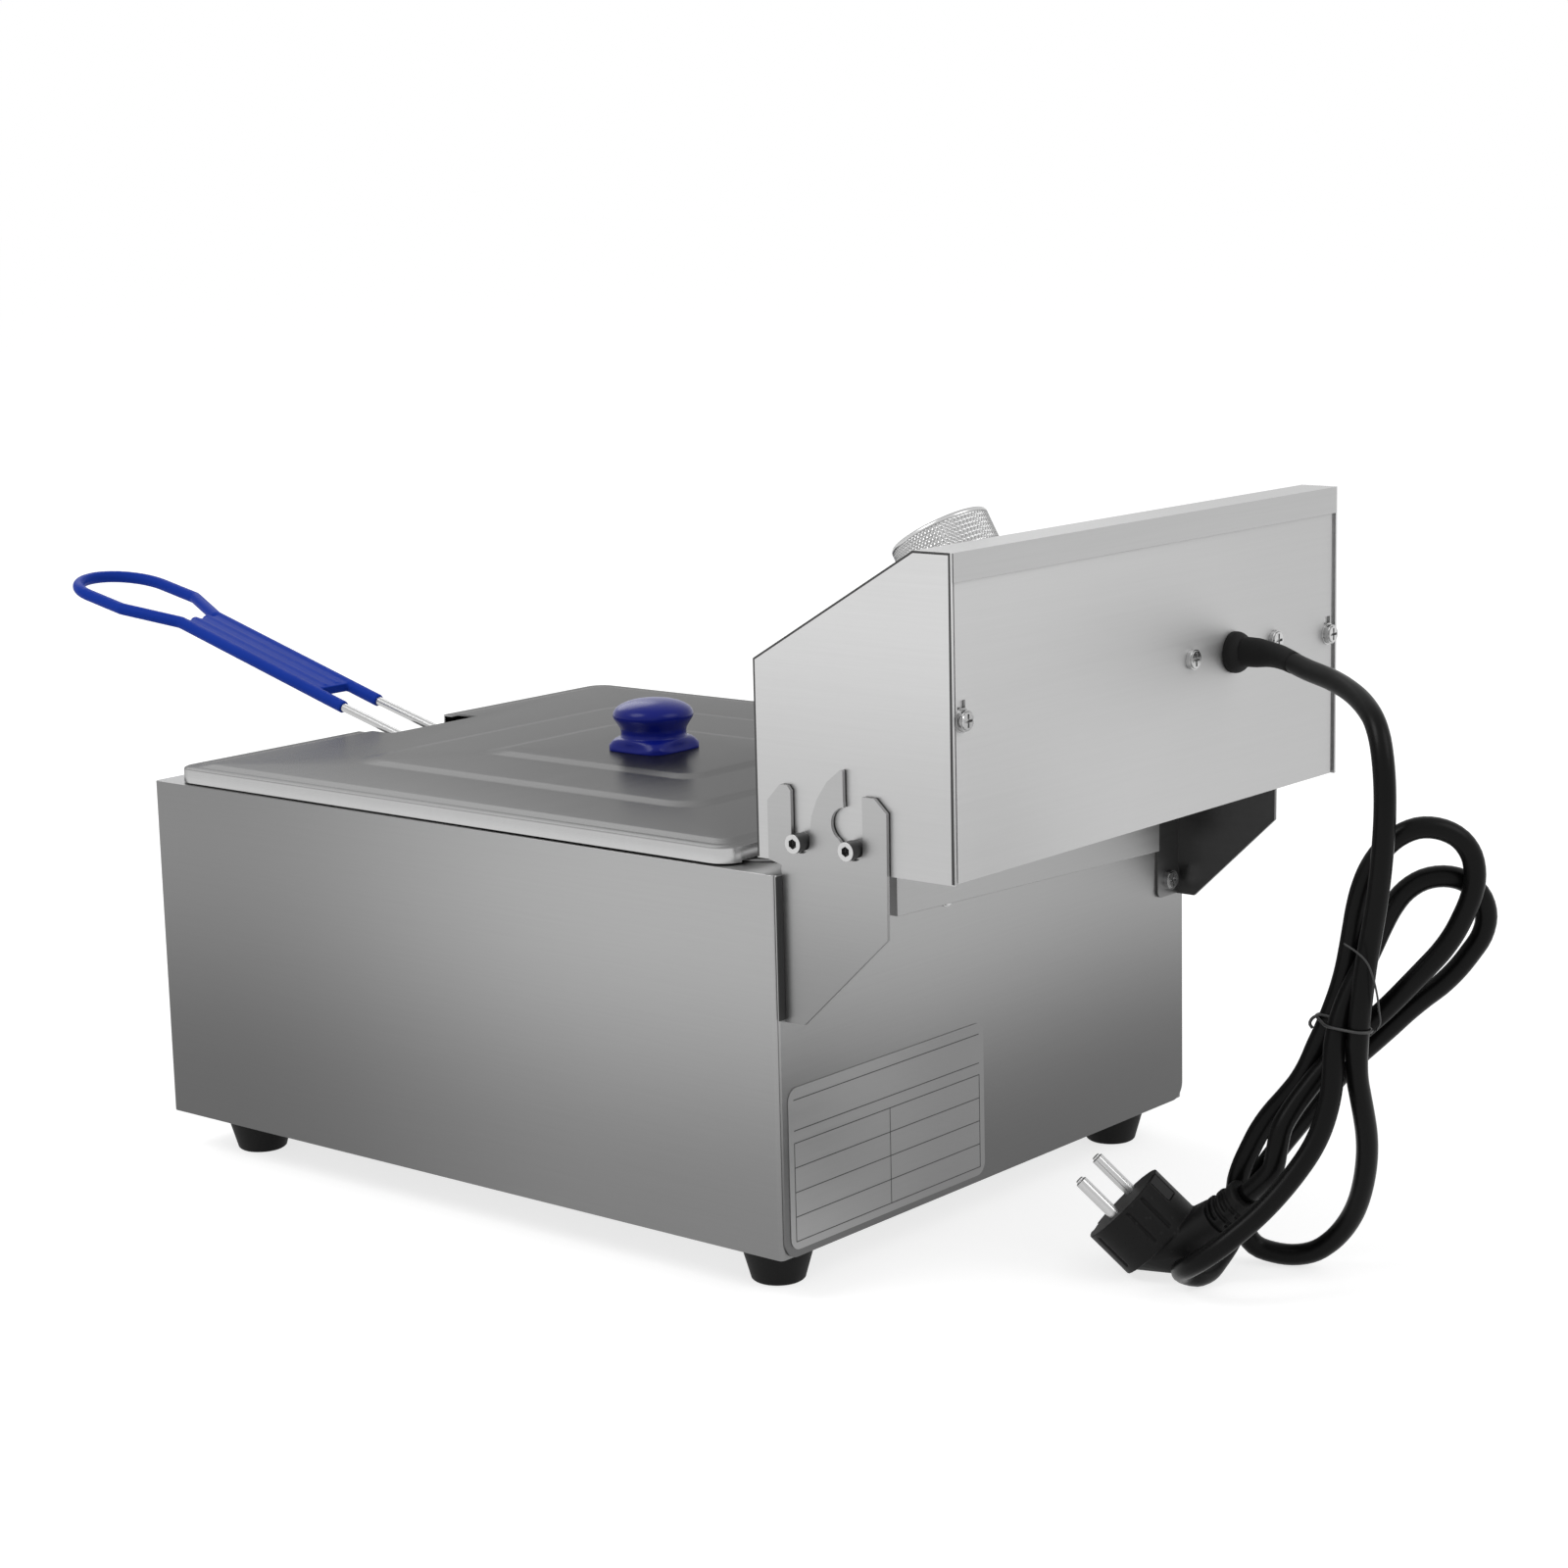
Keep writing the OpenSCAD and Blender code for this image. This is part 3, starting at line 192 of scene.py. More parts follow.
ALONG, ACROSS = (260, 14, 900), (14, 260, 900)  # grain that runs front to back, and side to side
steel = dict(metal=1.0, ga=0.10, gr=0.10, bump=0.12, dist=0.00002, ca=0.05, cr=0.05)
small = dict(metal=1.0, ga=0.06, gr=0.04, bump=0.03, dist=0.00001, ca=0.05, cr=0.03)
# painted light and shade: the casing's sides darker towards the bottom and the front, its rear panel darker
# towards the bottom
side_painted_shading = [(2, LOW, TOP, 0.62, 1.12), (1, -0.11, 0.20, 0.64, 1.14)]
rear_painted_shading = [(2, LOW, TOP, 0.42, 1.20), (0, -0.135, 0.135, 0.94, 1.08)]
# casing, head and lid are one brushed steel, given base tones part by part for the light each part takes:
# painted light and shade
LOOKS = {  # name: colour, roughness, the rest
    "casing_steel": (grey(0.30), 0.38, dict(steel, grain=ALONG, aniso=0.55, painted_shading=side_painted_shading)),
    "rear_steel": (grey(0.30), 0.36, dict(steel, grain=ACROSS, aniso=0.55, painted_shading=rear_painted_shading)),
    # painted light: the right hinge plate lighter towards the top
    "bracket_steel": (grey(0.27), 0.34, dict(steel, grain=ALONG, aniso=0.4,
                                             painted_shading=[(2, 0.09, 0.21, 0.85, 1.50)])),
    # painted light: the head's sides lighter towards the top
    "head_steel": (grey(0.52), 0.34, dict(steel, grain=ALONG, aniso=0.5,
                                          painted_shading=[(2, 0.168, 0.285, 0.90, 1.20)])),
    # painted shade: the left hinge plate and its foot, the same steel as the right one painted darker
    "flange_painted_shade": (grey(0.17), 0.36, dict(steel, grain=ACROSS)),
    "plate_painted_shade": (grey(0.10), 0.36, dict(steel, grain=ALONG, aniso=0.4)),
    # painted light and shade: the head's rear panel darker towards -x
    "headrear_steel": (grey(0.54), 0.50, dict(steel, grain=ACROSS, aniso=0.5, arot=0.25,
                                              painted_shading=[(0, -0.13, 0.13, 0.92, 1.05)])),
    # painted reflection and light: the lid's steel painted darker for the reflection on its top, and its lip
    # 2.3 times lighter
    "lid_steel": (grey(0.21), 0.26, dict(small, grain=(20, 400, 60), bump=0.01, edge=0.43,
                                         painted_shading=[(2, 0.1698, 0.1707, 2.3, 1.0)])),
    "cover_steel": (grey(0.46), 0.34, dict(steel, grain=ACROSS, aniso=0.4)),
    # painted shade: the tank's rim darker at the top
    "tank_steel": (grey(0.42), 0.36, dict(steel, grain=(200, 200, 60),
                                          painted_shading=[(2, 0.161, 0.1648, 1.0, 0.45)])),
    # painted light: the rating plate lighter towards +x
    "label_steel": (grey(0.28), 0.42, dict(steel, grain=(20, 200, 700),
                                           painted_shading=[(0, 0.01, 0.131, 0.80, 1.15)])),
    "screw_steel": (grey(0.46), 0.20, dict(small, grain=300, wear=0.2, hollow_shade=0.85)),
    "wire_steel": (grey(0.46), 0.24, dict(small, grain=120)),
    # painted shade: the plug's contacts, metal, painted dark as they sit in shade
    "contact_painted_shade": (grey(0.05), 0.4, dict(small, grain=120, edge=0.3)),
    "element_steel": ((0.16, 0.155, 0.15), 0.4, dict(steel, grain=60, ca=0.3)),
    "blue_coat": ((0.008, 0.035, 0.29), 0.45, dict(grain=900, ga=0.08, gr=0.08, bump=0.06, dist=0.0001,
                                                   ca=0.15, spec=0.03, cloud=40, hollow_shade=0.3)),
    "blue_knob": ((0.003, 0.008, 0.16), 0.26, dict(grain=700, ga=0.05, gr=0.03, bump=0.015, ca=0.10,
                                                   spec=0.16, cloud=60)),
    "rubber_black": (grey(0.008), 0.62, dict(grain=800, ga=0.3, gr=0.12, bump=0.2, dist=0.0002, ca=0.3,
                                             cloud=60, spec=0.15)),
    "cord_black": (grey(0.004), 0.32, dict(grain=900, ga=0.3, gr=0.12, bump=0.12, dist=0.0001, ca=0.4,
                                           cloud=45, spec=0.10, speck=0.5)),
    "plug_black": (grey(0.007), 0.52, dict(grain=1500, ga=0.4, gr=0.12, bump=0.3, dist=0.0002, ca=0.3,
                                           cloud=60, spec=0.14, speck=0.6, wear=0.8, hollow_shade=0.7)),
    "plug_metal": (grey(0.50), 0.20, dict(small, grain=(60, 900, 900))),
    "knob_silver": (grey(0.52), 0.24, dict(small, grain=400, wear=0.1, hollow_shade=0.9)),
    "dial_white": (grey(0.74), 0.4, dict(grain=300, ga=0.03, gr=0.06, bump=0.03)),
    "ink": (grey(0.03), 0.5, dict(grain=900, ga=0.3, bump=0)),
    "label_ink": (grey(0.035), 0.5, dict(grain=900, ga=0.3, bump=0)),
    "lamp_green": ((0.03, 0.38, 0.09), 0.16, dict(grain=300, coat=0.5)),
    "lamp_orange": ((0.62, 0.19, 0.02), 0.16, dict(grain=300, coat=0.5)),
    "copper": ((0.45, 0.24, 0.12), 0.35, dict(steel, grain=300)),
    "bakelite": (grey(0.03), 0.45, dict(grain=300, ga=0.2)),
    "terminal_white": ((0.66, 0.66, 0.60), 0.45, dict(grain=300)),
    "wire_insulation": ((0.16, 0.07, 0.035), 0.45, dict(grain=300)),
    "button_red": ((0.42, 0.02, 0.02), 0.3, dict(grain=300)),
    "tie_black": (grey(0.02), 0.45, dict(grain=900, ga=0.3)),
    "floor_white": (grey(0.8), 0.7, dict(grain=8, ga=0.01, gr=0.02, bump=0, ca=0.01)),
}
MAT = {name: Mat(name, rgb, rough, **more) for name, (rgb, rough, more) in LOOKS.items()}
# nodes whose look differs from that of their slot; the hinge plates and the plug's contacts differ by painted
# light and shade, the head's rear panel partly so
DRESS = {"bracket_right": "bracket_steel", "bracket_left": "plate_painted_shade", "head_rear_panel": "headrear_steel",
         "plug_contacts": "contact_painted_shade", "control_cover": "cover_steel"}
slot_of = {p["node"]: p["material_slot"] for p in frame["record"]["subparts"]}
body_of = {n: b for b, l in frame["record"]["behaviour"]["bodies"].items() for n in l}


def paint(ob, mat):
    ob.data.materials.clear()
    ob.data.materials.append(MAT[mat].m)
    return ob


for node, ob in N.items():
    paint(ob, DRESS.get(node, slot_of[node]))

# ------------------------------------------------------------------ mesh helpers


def new(name, verts, faces, mats=(), smooth=True):
    me = bpy.data.meshes.new(name)
    me.from_pydata([tuple(v) for v in verts], [], faces)
    me.validate()
    ob = bpy.data.objects.new(name, me)
    COL.objects.link(ob)
    for m in mats:
        me.materials.append(MAT[m].m)
    for p in me.polygons:
        p.use_smooth = smooth
    return ob


def bake(ob):
    """Turn the modifiers of an object into its mesh."""
    C.view_layer.update()
    me = bpy.data.meshes.new_from_object(ob.evaluated_get(C.evaluated_depsgraph_get()))
    ob.modifiers.clear()
    old, ob.data = ob.data, me
    if not old.users:
        bpy.data.meshes.remove(old)
    return ob


def shade(ob, angle):
    """Smooth shading with sharp edges above an angle."""
    me = ob.data
    me.shade_smooth()
    me.set_sharp_from_angle(angle=math.radians(angle))
    return ob


def join(name, obs):
    bpy.ops.object.select_all(action="DESELECT")
    for o in obs:
        o.select_set(True)
    C.view_layer.objects.active = obs[0]
    bpy.ops.object.join()
    obs[0].name = name
    return obs[0]


def place(ob, node):
    """Let a piece stand for a CAD node, with the node's body."""
    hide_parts(node)
    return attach(ob, body_of[node])


def clean(node, name):
    """A copy of a node's mesh with its flat faces joined again."""
    me = N[node].data.copy()
    ob = bpy.data.objects.new(name, me)
    COL.objects.link(ob)
    bm = bmesh.new()
    bm.from_mesh(me)
    bmesh.ops.remove_doubles(bm, verts=bm.verts, dist=2e-6)
    bmesh.ops.dissolve_limit(bm, angle_limit=math.radians(0.6), verts=bm.verts, edges=bm.edges,
                             delimit=set())
    bm.to_mesh(me)
    bm.free()
    return ob


def soften(node, name, width):
    """Replace a node by its own mesh with rounded edges and even shading on its flat faces."""
    ob = clean(node, name)
    m = ob.modifiers.new("bevel", "BEVEL")
    m.width, m.segments, m.limit_method, m.angle_limit = width, 2, "ANGLE", math.radians(30)
    m.harden_normals, m.use_clamp_overlap = False, True
    shade(bake(ob), 40)
    m = ob.modifiers.new("normals", "WEIGHTED_NORMAL")
    m.mode, m.weight, m.keep_sharp = "FACE_AREA", 100, True
    return place(bake(ob), node)


def skin(rows, n, bottom=True):
    """Faces over stacked rings of n points each, closed at the top and, if asked for, at the bottom."""
    faces = [(j * n + k, j * n + (k + 1) % n, (j + 1) * n + (k + 1) % n, (j + 1) * n + k)
             for j in range(rows - 1) for k in range(n)]
    if bottom:
        faces.append(tuple(reversed(range(n))))
    return faces + [tuple((rows - 1) * n + k for k in range(n))]


def tube(name, path, r, n, mat, closed=False):
    """A tube along points that doesn't twist; r is its radius, or a list with one per point."""
    p = [Vector(q) for q in path]
    m = len(p)
    verts = []
    for i in range(m):
        a = p[(i - 1) % m] if closed or i else p[0]
        b = p[(i + 1) % m] if closed or i < m - 1 else p[-1]
        t = (b - a).normalized()
        if i == 0:
            s = t.orthogonal().normalized()
        s = (s - t * s.dot(t)).normalized()
        c = t.cross(s)
        radius = r[i] if isinstance(r, list) else r
        for k in range(n):
            w = 2 * math.pi * k / n
            verts.append(p[i] + (s * math.cos(w) + c * math.sin(w)) * radius)
    faces = skin(m, n)
    if closed:
        # no end faces: the last ring joins the first at the turn where they fit best
        end = (m - 1) * n
        off = min(range(n), key=lambda o: (verts[end] - verts[o]).length)
        faces[-2:] = [(end + k, end + (k + 1) % n, (k + 1 + off) % n, (k + off) % n) for k in range(n)]
    return new(name, verts, faces, [mat])


def even(p, step):
    """The same line with its points at equal steps."""
    s = np.concatenate([[0], np.cumsum(np.linalg.norm(np.diff(p, axis=0), axis=1))])
    k = max(2, int(round(s[-1] / step)) + 1)
    u = np.linspace(0, s[-1], k)
    return np.stack([np.interp(u, s, p[:, i]) for i in range(3)], 1)


def spline(pts, step):
    """Catmull-Rom curve through points, sampled evenly."""
    q = np.array([tuple(v) for v in pts], float)
    q = np.vstack([2 * q[0] - q[1], q, 2 * q[-1] - q[-2]])
    out = []
    for i in range(1, len(q) - 2):
        a, b, c, d = q[i - 1:i + 3]
        ta = np.linalg.norm(b - a) ** 0.5
        tb = np.linalg.norm(c - b) ** 0.5
        tc = np.linalg.norm(d - c) ** 0.5
        m1 = tb * ((b - a) / ta - (c - a) / (ta + tb) + (c - b) / tb)
        m2 = tb * ((c - b) / tb - (d - b) / (tb + tc) + (d - c) / tc)
        for u in np.linspace(0, 1, 24, endpoint=False):
            out.append((2 * u**3 - 3 * u**2 + 1) * b + (u**3 - 2 * u**2 + u) * m1
                       + (3 * u**2 - 2 * u**3) * c + (u**3 - u**2) * m2)
    out.append(q[-2])
    return even(np.array(out), step)

# ------------------------------------------------------------------ mains cord, lengths in mm

CORD_D = 8.2
# the upright plane in which the folded cord stands: its foot, along it, and out towards the viewer
TURN = math.radians(130.1)
H_O = np.array((73.6, 62.0 + YB, 0.0))
H_U = np.array((math.cos(TURN), math.sin(TURN), 0.0))
H_W = np.array((math.sin(TURN), -math.cos(TURN), 0.0))


def hank(u, v, w):
    """A point of that plane: along, up from the floor, out of it."""
    return H_O + H_U * u + H_W * w + np.array((0, 0, v))


# the free lead from the grommet: across, behind the rear panel, up from the floor
lead = [(GROMMET_X, 80.5, 228.5), (GROMMET_X, 86, 228.5), (-52.5, 92.5, 228.5), (-48.8, 101.5, 228),
        (-41, 116, 226), (-29, 137, 224), (-18, 153.5, 220), (-8.5, 165.5, 213), (-3, 171.5, 199),
        (-1.5, 173, 184), (-1.5, 172, 167), (-1, 170, 148), (0.5, 167.5, 130), (2, 166, 115),
        (3.5, 164.5, 100)]
lead = [np.array((x, y + YB, z)) for x, y, z in lead]
# the folded part, in the plane's measures, as far as the plug
folds = [
    (124, 88, 11), (127, 73, 8), (130, 57, 3), (130, 39, -4), (127, 23, -12), (119, 10, -19), (107, 3, -25),
    (97, 4, -29), (90, 10, -30), (88, 19, -28), (90, 30, -24), (96, 42, -20), (106, 57, -16), (117, 72, -13),
    (126, 84, -11), (138, 95, -10), (151, 107, -10), (162, 115, -10), (169, 124, -10), (175, 133, -9),
    (175, 142, -7), (171, 150, -6), (165, 154, -6), (156, 155, -7), (148, 152, -8), (141, 146, -5),
    (135, 137, -1),
    (129, 126, 3), (123, 115, 5), (118, 101, 9), (116, 88, 12), (114, 77, 15), (109, 63, 18), (100, 50, 20),
    (88, 37, 22), (76, 27, 23), (69, 21, 22), (63, 16, 18), (61, 12, 11), (61, 9, 3), (63, 8, -5), (67, 8, -11),
    (73, 11, -15), (78, 18, -17), (82, 26, -17), (84, 37, -16), (88, 47, -15), (94, 60, -14), (106, 75, -12),
    (112, 87, -8), (116, 100, -5), (122, 118, -4), (125, 136, -3), (127, 150, -1), (132, 163, 0), (138, 170, 1),
    (145, 175, 2), (154, 175, 2), (162, 172, 2), (168, 164, 1), (169, 154, 0), (166, 143, -1), (160, 131, -1),
    (150, 120, -1), (140, 109, -2), (132, 101, -3), (122, 93, -3), (113, 83, -2), (105, 73, 1), (97, 63, 5),
    (95.1, 47.6, 6.3), (90.4, 42.1, 2.9), (85.7, 36.6, -0.5)]


def settle(p, head_fixed, tail_fixed, keep_out):
    """Push the strands apart where they cross and out of the balls around the plug; keep them smooth and
    off the floor. Points at both ends stay where they are."""
    rounds, apart, near, floor_gap = 300, CORD_D + 0.5, 9, 0.35
    spread, pull, smooth, stiff = 0.30, 0.07, 0.04, 0.22
    target = p.copy()
    r = CORD_D / 2
    n = len(p)
    idx = np.arange(n)
    far = np.abs(idx[:, None] - idx[None, :]) > near
    free = (idx >= head_fixed) & (idx < n - tail_fixed)
    for _ in range(rounds):
        d = p[:, None] - p[None, :]
        l = np.linalg.norm(d, axis=2) + 1e-9
        push = np.where(far & (l < apart), (apart - l) / l, 0)[..., None] * d
        move = spread * push.sum(1) + pull * (target - p)
        for centre, ball in keep_out:
            out = p - centre
            l = np.linalg.norm(out, axis=1) + 1e-9
            least = ball + r + 0.3
            move += spread * np.where((idx < n - 4) & (l < least), (least - l) / l, 0)[:, None] * out
        lap = np.zeros_like(p)
        lap[1:-1] = (p[:-2] + p[2:]) / 2 - p[1:-1]
        bil = np.zeros_like(p)
        bil[1:-1] = (lap[:-2] + lap[2:]) / 2 - lap[1:-1]
        move += smooth * lap - stiff * bil
        p = p + np.where(free[:, None], move, 0)
        p[:, 2] = np.maximum(p[:, 2], r + floor_gap)
    return p


def turn(ax, deg):
    c, s = math.cos(math.radians(deg)), math.sin(math.radians(deg))
    return np.array({"X": [[1, 0, 0], [0, c, -s], [0, s, c]], "Y": [[c, 0, s], [0, 1, 0], [-s, 0, c]],
                     "Z": [[c, -s, 0], [s, c, 0], [0, 0, 1]]}[ax])


# the plug: x along its cord outlet, y out of its face, z from pin to pin
PLUG_R = np.array([H_U, (0, 0, 1.0), H_W]).T @ turn("Z", 49.5) @ turn("Y", -25) @ turn("X", -10.8)
PLUG_O = hank(42, 27.4, -22.6)


def plug_at(x, y, z):
    return PLUG_O + PLUG_R @ np.array((x, y, z), float)


# balls that keep the strands out of the plug: along its boot, its neck and its disc
keep_out = [(plug_at(x, -28, 0), 9.0) for x in (24, 27, 30, 33, 36)]
keep_out += [(plug_at(x, -27, z), 10.0) for x in (4, 10, 16, 20) for z in (-4, 4)]
keep_out += [(plug_at(0, -14, 0), 16.0), (plug_at(2, -30, -4), 8.0), (plug_at(2, -30, 4), 8.0)]
route = spline(lead + [hank(*f) for f in folds], 4.0)
route = even(settle(route, 22, 3, keep_out), 4.0)
# a curve through every other point and the last
route = route[::2] if len(route) % 2 else np.vstack([route[:-1:2], route[-1:]])
fine = spline(route, 2.5)
cord = tube("mains_cord", fine / 1000, CORD_D / 2000, 16, "cord_black")
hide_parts("cord_lead", "cord_hank")
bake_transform(cord)


def hull(p):
    """The convex outline of flat points."""
    p = sorted(map(tuple, p))
    out = []
    for side in (p, p[::-1]):
        h = []
        for q in side:
            while len(h) > 1:
                (ax, ay), (bx, by) = h[-2:]
                if (bx - ax) * (q[1] - ay) > (by - ay) * (q[0] - ax):
                    break
                h.pop()
            h.append(q)
        out += h[:-1]
    return out


TIE_V, TIE_TILT, TIE_OFF = 103, -0.06, 1.0  # the tie's height, its slope, and its distance from the strands
LOOSE_U = 131  # strands further along the plane than this aren't tied


def tie_line():
    """The line of a wire drawn tight round the strands at the tie's height, as (along, out) in the plane."""
    at = H_O + np.array((0, 0, TIE_V))
    reach = CORD_D / 2 + TIE_OFF
    rim = []
    for a, b in zip(fine[:-1], fine[1:]):
        za, zb = a[2] - TIE_V, b[2] - TIE_V
        if za * zb <= 0 and za != zb:
            q = a + (b - a) * za / (za - zb) - at
            if q @ H_U <= LOOSE_U:
                rim += [(q @ H_U + reach * math.cos(t), q @ H_W + reach * math.sin(t))
                        for t in np.linspace(0, 2 * math.pi, 24, endpoint=False)]
    line = np.array(hull(rim))
    line = even(np.array([(x, y, 0) for x, y in np.vstack([line, line[:1]])]), 1.2)[:-1, :2]
    for _ in range(4):
        line = (np.roll(line, 1, 0) + 2 * line + np.roll(line, -1, 0)) / 4
    return line


band = tie_line()
mid = band[:, 0].mean()
tie_ring = [hank(u, TIE_V + TIE_TILT * (u - mid), w) / 1000 for u, w in band]
u0, w0 = band[band[:, 0].argmin()]
tie_tail = spline([hank(u0 + 5, 104.3, w0 + 4), hank(u0 + 1, 104.4, w0 + 1), hank(u0 - 1.6, 103, w0),
                   hank(u0 - 2.6, 101, w0), hank(u0 - 1.8, 99.6, w0 + 1)], 0.8) / 1000
tie_loop = spline([hank(118.5, 135.8, 16), hank(122, 133.8, 19.5), hank(126, 129.8, 20.5), hank(128.4, 124, 20),
                   hank(130.4, 116.5, 18), hank(131.6, 110, 15.5), hank(132.4, 105, 13),
                   hank(131.4, 102, 11.5)], 0.8) / 1000
tie = join("twist_tie", [tube("tie_ring", tie_ring, 0.0006, 8, "tie_black", closed=True),
                         tube("tie_tail", tie_tail, 0.0006, 8, "tie_black"),
                         tube("tie_loop", tie_loop, 0.0004, 8, "tie_black")])
place(tie, "cord_ties")

# ------------------------------------------------------------------ plug, in its own measures in mm


def block(x0, x1, y0, y1, z0, z1):
    v = [(x, y, z) for x in (x0, x1) for y in (y0, y1) for z in (z0, z1)]
    f = [(0, 1, 3, 2), (4, 6, 7, 5), (0, 4, 5, 1), (2, 3, 7, 6), (0, 2, 6, 4), (1, 5, 7, 3)]
    return v, f


def sector(x0, x1, y, r0, r1, a0, a1, n=10):
    """Part of a ring about a line along x at height y."""
    v, f = [], []
    for i in range(n + 1):
        a = math.radians(a0 + (a1 - a0) * i / n)
        for x, r in ((x0, r0), (x1, r0), (x1, r1), (x0, r1)):
            v.append((x, y + r * math.cos(a), r * math.sin(a)))
        if i:
            k = 4 * i
            f += [(k - 4 + j, k - 4 + (j + 1) % 4, k + (j + 1) % 4, k + j) for j in range(4)]
    f += [(3, 2, 1, 0), (4 * n, 4 * n + 1, 4 * n + 2, 4 * n + 3)]
    return v, f


def gather(parts):
    V, F = [], []
    for v, f in parts:
        F += [tuple(i + len(V) for i in q) for q in f]
        V += v
    return V, F


def carve(ob, cutter, op="DIFFERENCE"):
    m = ob.modifiers.new("cut", "BOOLEAN")
    m.object, m.operation, m.solver = cutter, op, "EXACT"
    bake(ob)
    bpy.data.objects.remove(cutter, do_unlink=True)
    return ob


def remesh(ob, voxel, rounds):
    """One closed, softly rounded surface."""
    m = ob.modifiers.new("remesh", "REMESH")
    m.mode, m.voxel_size = "VOXEL", voxel
    s = ob.modifiers.new("smooth", "SMOOTH")
    s.factor, s.iterations = 0.5, rounds
    return shade(bake(ob), 60)


def plug_solid(name, parts):
    V, F = gather(parts)
    return new(name, [Vector(plug_at(*v)) / 1000 for v in V], F)


BOOT_Y = -28
cuts = []
# two rows of four slots round the boot, the four shifted in turn
for x0 in (28.6, 34.2):
    for a0, shift in ((8, -0.6), (104, 0.6), (188, -0.6), (284, 0.6)):
        cuts.append(sector(x0 + shift, x0 + shift + 2.0, BOOT_Y, 6.2, 12, a0, a0 + 68))
# grooves along the side of the disc
for a in (36, 62, 119, -36, -62, 144):
    ca, sa = math.cos(math.radians(a)), math.sin(math.radians(a))
    v, f = block(17.0, 19.5, -17, -1.6, -0.7, 0.7)
    cuts.append(([(x * ca - z * sa, y, x * sa + z * ca) for x, y, z in v], f))
cuts += [block(2, 19, -34.3, -32.3, 6.3, 12), block(2, 19, -34.3, -32.3, -12, -6.3)]
ribs = [block(4, 20, -28.6 + d, -27.8 + d, -8.9, 8.9) for d in (-1.2, 1.2)]
plug = clean("plug_body", "plug_moulding")
carve(plug, plug_solid("cutter", cuts))
carve(plug, plug_solid("ribs", ribs), "UNION")
remesh(plug, 0.00042, 2)
paint(plug, "plug_black")
place(plug, "plug_body")

pins = soften("plug_pins", "contact_pins", 0.0003)

# ------------------------------------------------------------------ sheet metal

FINE_EDGE, EDGE, WIDE_EDGE = 0.0003, 0.0005, 0.0008  # roundings in m


def paint_part(ob, mat, belongs):
    """A second material on the faces whose normal passes a test."""
    ob.data.materials.append(MAT[mat].m)
    for f in ob.data.polygons:
        f.material_index = int(belongs(f.normal))


for node, name, w in (("outer_casing", "casing_shell", EDGE), ("rear_panel", "rear_sheet", FINE_EDGE),
                      ("rear_apron", "apron_fold", EDGE), ("bracket_right", "hinge_plate_right", FINE_EDGE),
                      ("bracket_left", "hinge_plate_left", FINE_EDGE), ("head_chassis", "head_box", FINE_EDGE),
                      ("control_cover", "head_cover", FINE_EDGE), ("head_rear_panel", "head_back", FINE_EDGE),
                      ("tank", "oil_tank", FINE_EDGE), ("element_box", "element_housing", EDGE)):
    ob = soften(node, name, w)
    if node == "bracket_left":
        # painted shade by facing: the foot on the rear panel is lighter than the plate, both darker than the
        # same steel on the right
        paint_part(ob, "flange_painted_shade", lambda n: abs(n.y) > 0.7)

# ------------------------------------------------------------------ turned and moulded pieces, in mm


def lathe(name, prof, M, n, mat, ripple=None):
    """A solid turned about its local z axis from an open profile of (radius, height), bottom to top."""
    verts = []
    for r, h in prof:
        for k in range(n):
            a = 2 * math.pi * k / n
            q = r + (ripple(a, h, r) if ripple else 0)
            verts.append(M @ (Vector((q * math.cos(a), q * math.sin(a), h)) / 1000))
    return shade(new(name, verts, skin(len(prof), n), [mat]), 40)


# the head's slope: its tilt, its outward normal and the way up it
SLOPE = math.atan2(43.2, 73.9)
SLOPE_N = Vector((0, -math.sin(SLOPE), math.cos(SLOPE)))
SLOPE_T = Vector((0, math.cos(SLOPE), math.sin(SLOPE)))
KNOB_X, KNOB_D = 51, 42.7  # the thermostat's place: across, and up the slope from its lower edge


def slope(x, d, h):
    """Frame on the head's slope: x across, y up the slope, z outwards."""
    o = P(x, -12.9, HEAD_Z + 73.8) + SLOPE_T * (d / 1000) + SLOPE_N * (h / 1000)
    return Matrix.Translation(o) @ Matrix(((1, 0, 0), tuple(SLOPE_T), tuple(SLOPE_N))).transposed().to_4x4()


# the knurled part of the thermostat knob: radius, heights, and the count of diamonds round and up
GRIP_R, GRIP_Z0, GRIP_Z1, AROUND, ROWS = 19.5, 3.4, 19.2, 76, 9


def knurl(a, h, r):
    """Depth of a fine diamond knurl."""
    if not GRIP_Z0 < h < GRIP_Z1 or r < 19:
        return 0
    u = a * AROUND / (2 * math.pi)
    v = (h - GRIP_Z0) / 15.8 * ROWS
    fade = min(1, (h - GRIP_Z0) / 0.6, (GRIP_Z1 - h) / 0.6)
    g = min(abs(math.sin(math.pi * (u + v))), abs(math.sin(math.pi * (u - v))))
    return -0.55 * fade * (1 - g) ** 2


prof = [(21.9, 0), (22, 0.2), (22, 1.6), (21.6, 2.6), (20.8, 3.0), (GRIP_R, 3.1)]
prof += [(GRIP_R, h) for h in np.linspace(GRIP_Z0, GRIP_Z1, 64)]
prof += [(GRIP_R, 19.5), (19.3, 20.1), (18.7, 20.5), (17.2, 20.5), (16.9, 20.2), (10, 20.1), (0.5, 20.1)]
on_slope = slope(KNOB_X, KNOB_D, 1)
v, f = block(-0.9, 0.9, 7, 16.5, 19.9, 20.35)
knob = join("thermostat_knob_turned", [
    lathe("thermostat_knob_turned", prof, on_slope, 304, "knob_silver", knurl),
    new("mark", [on_slope @ (Vector(q) / 1000) for q in v], f, ["ink"], False),
    lathe("rim", [(17.4, 20.42), (18.9, 20.42), (19.1, 20.3), (19.1, 20.25), (17.4, 20.25)], on_slope, 96,
          "ink")])
place(knob, "thermostat_knob")


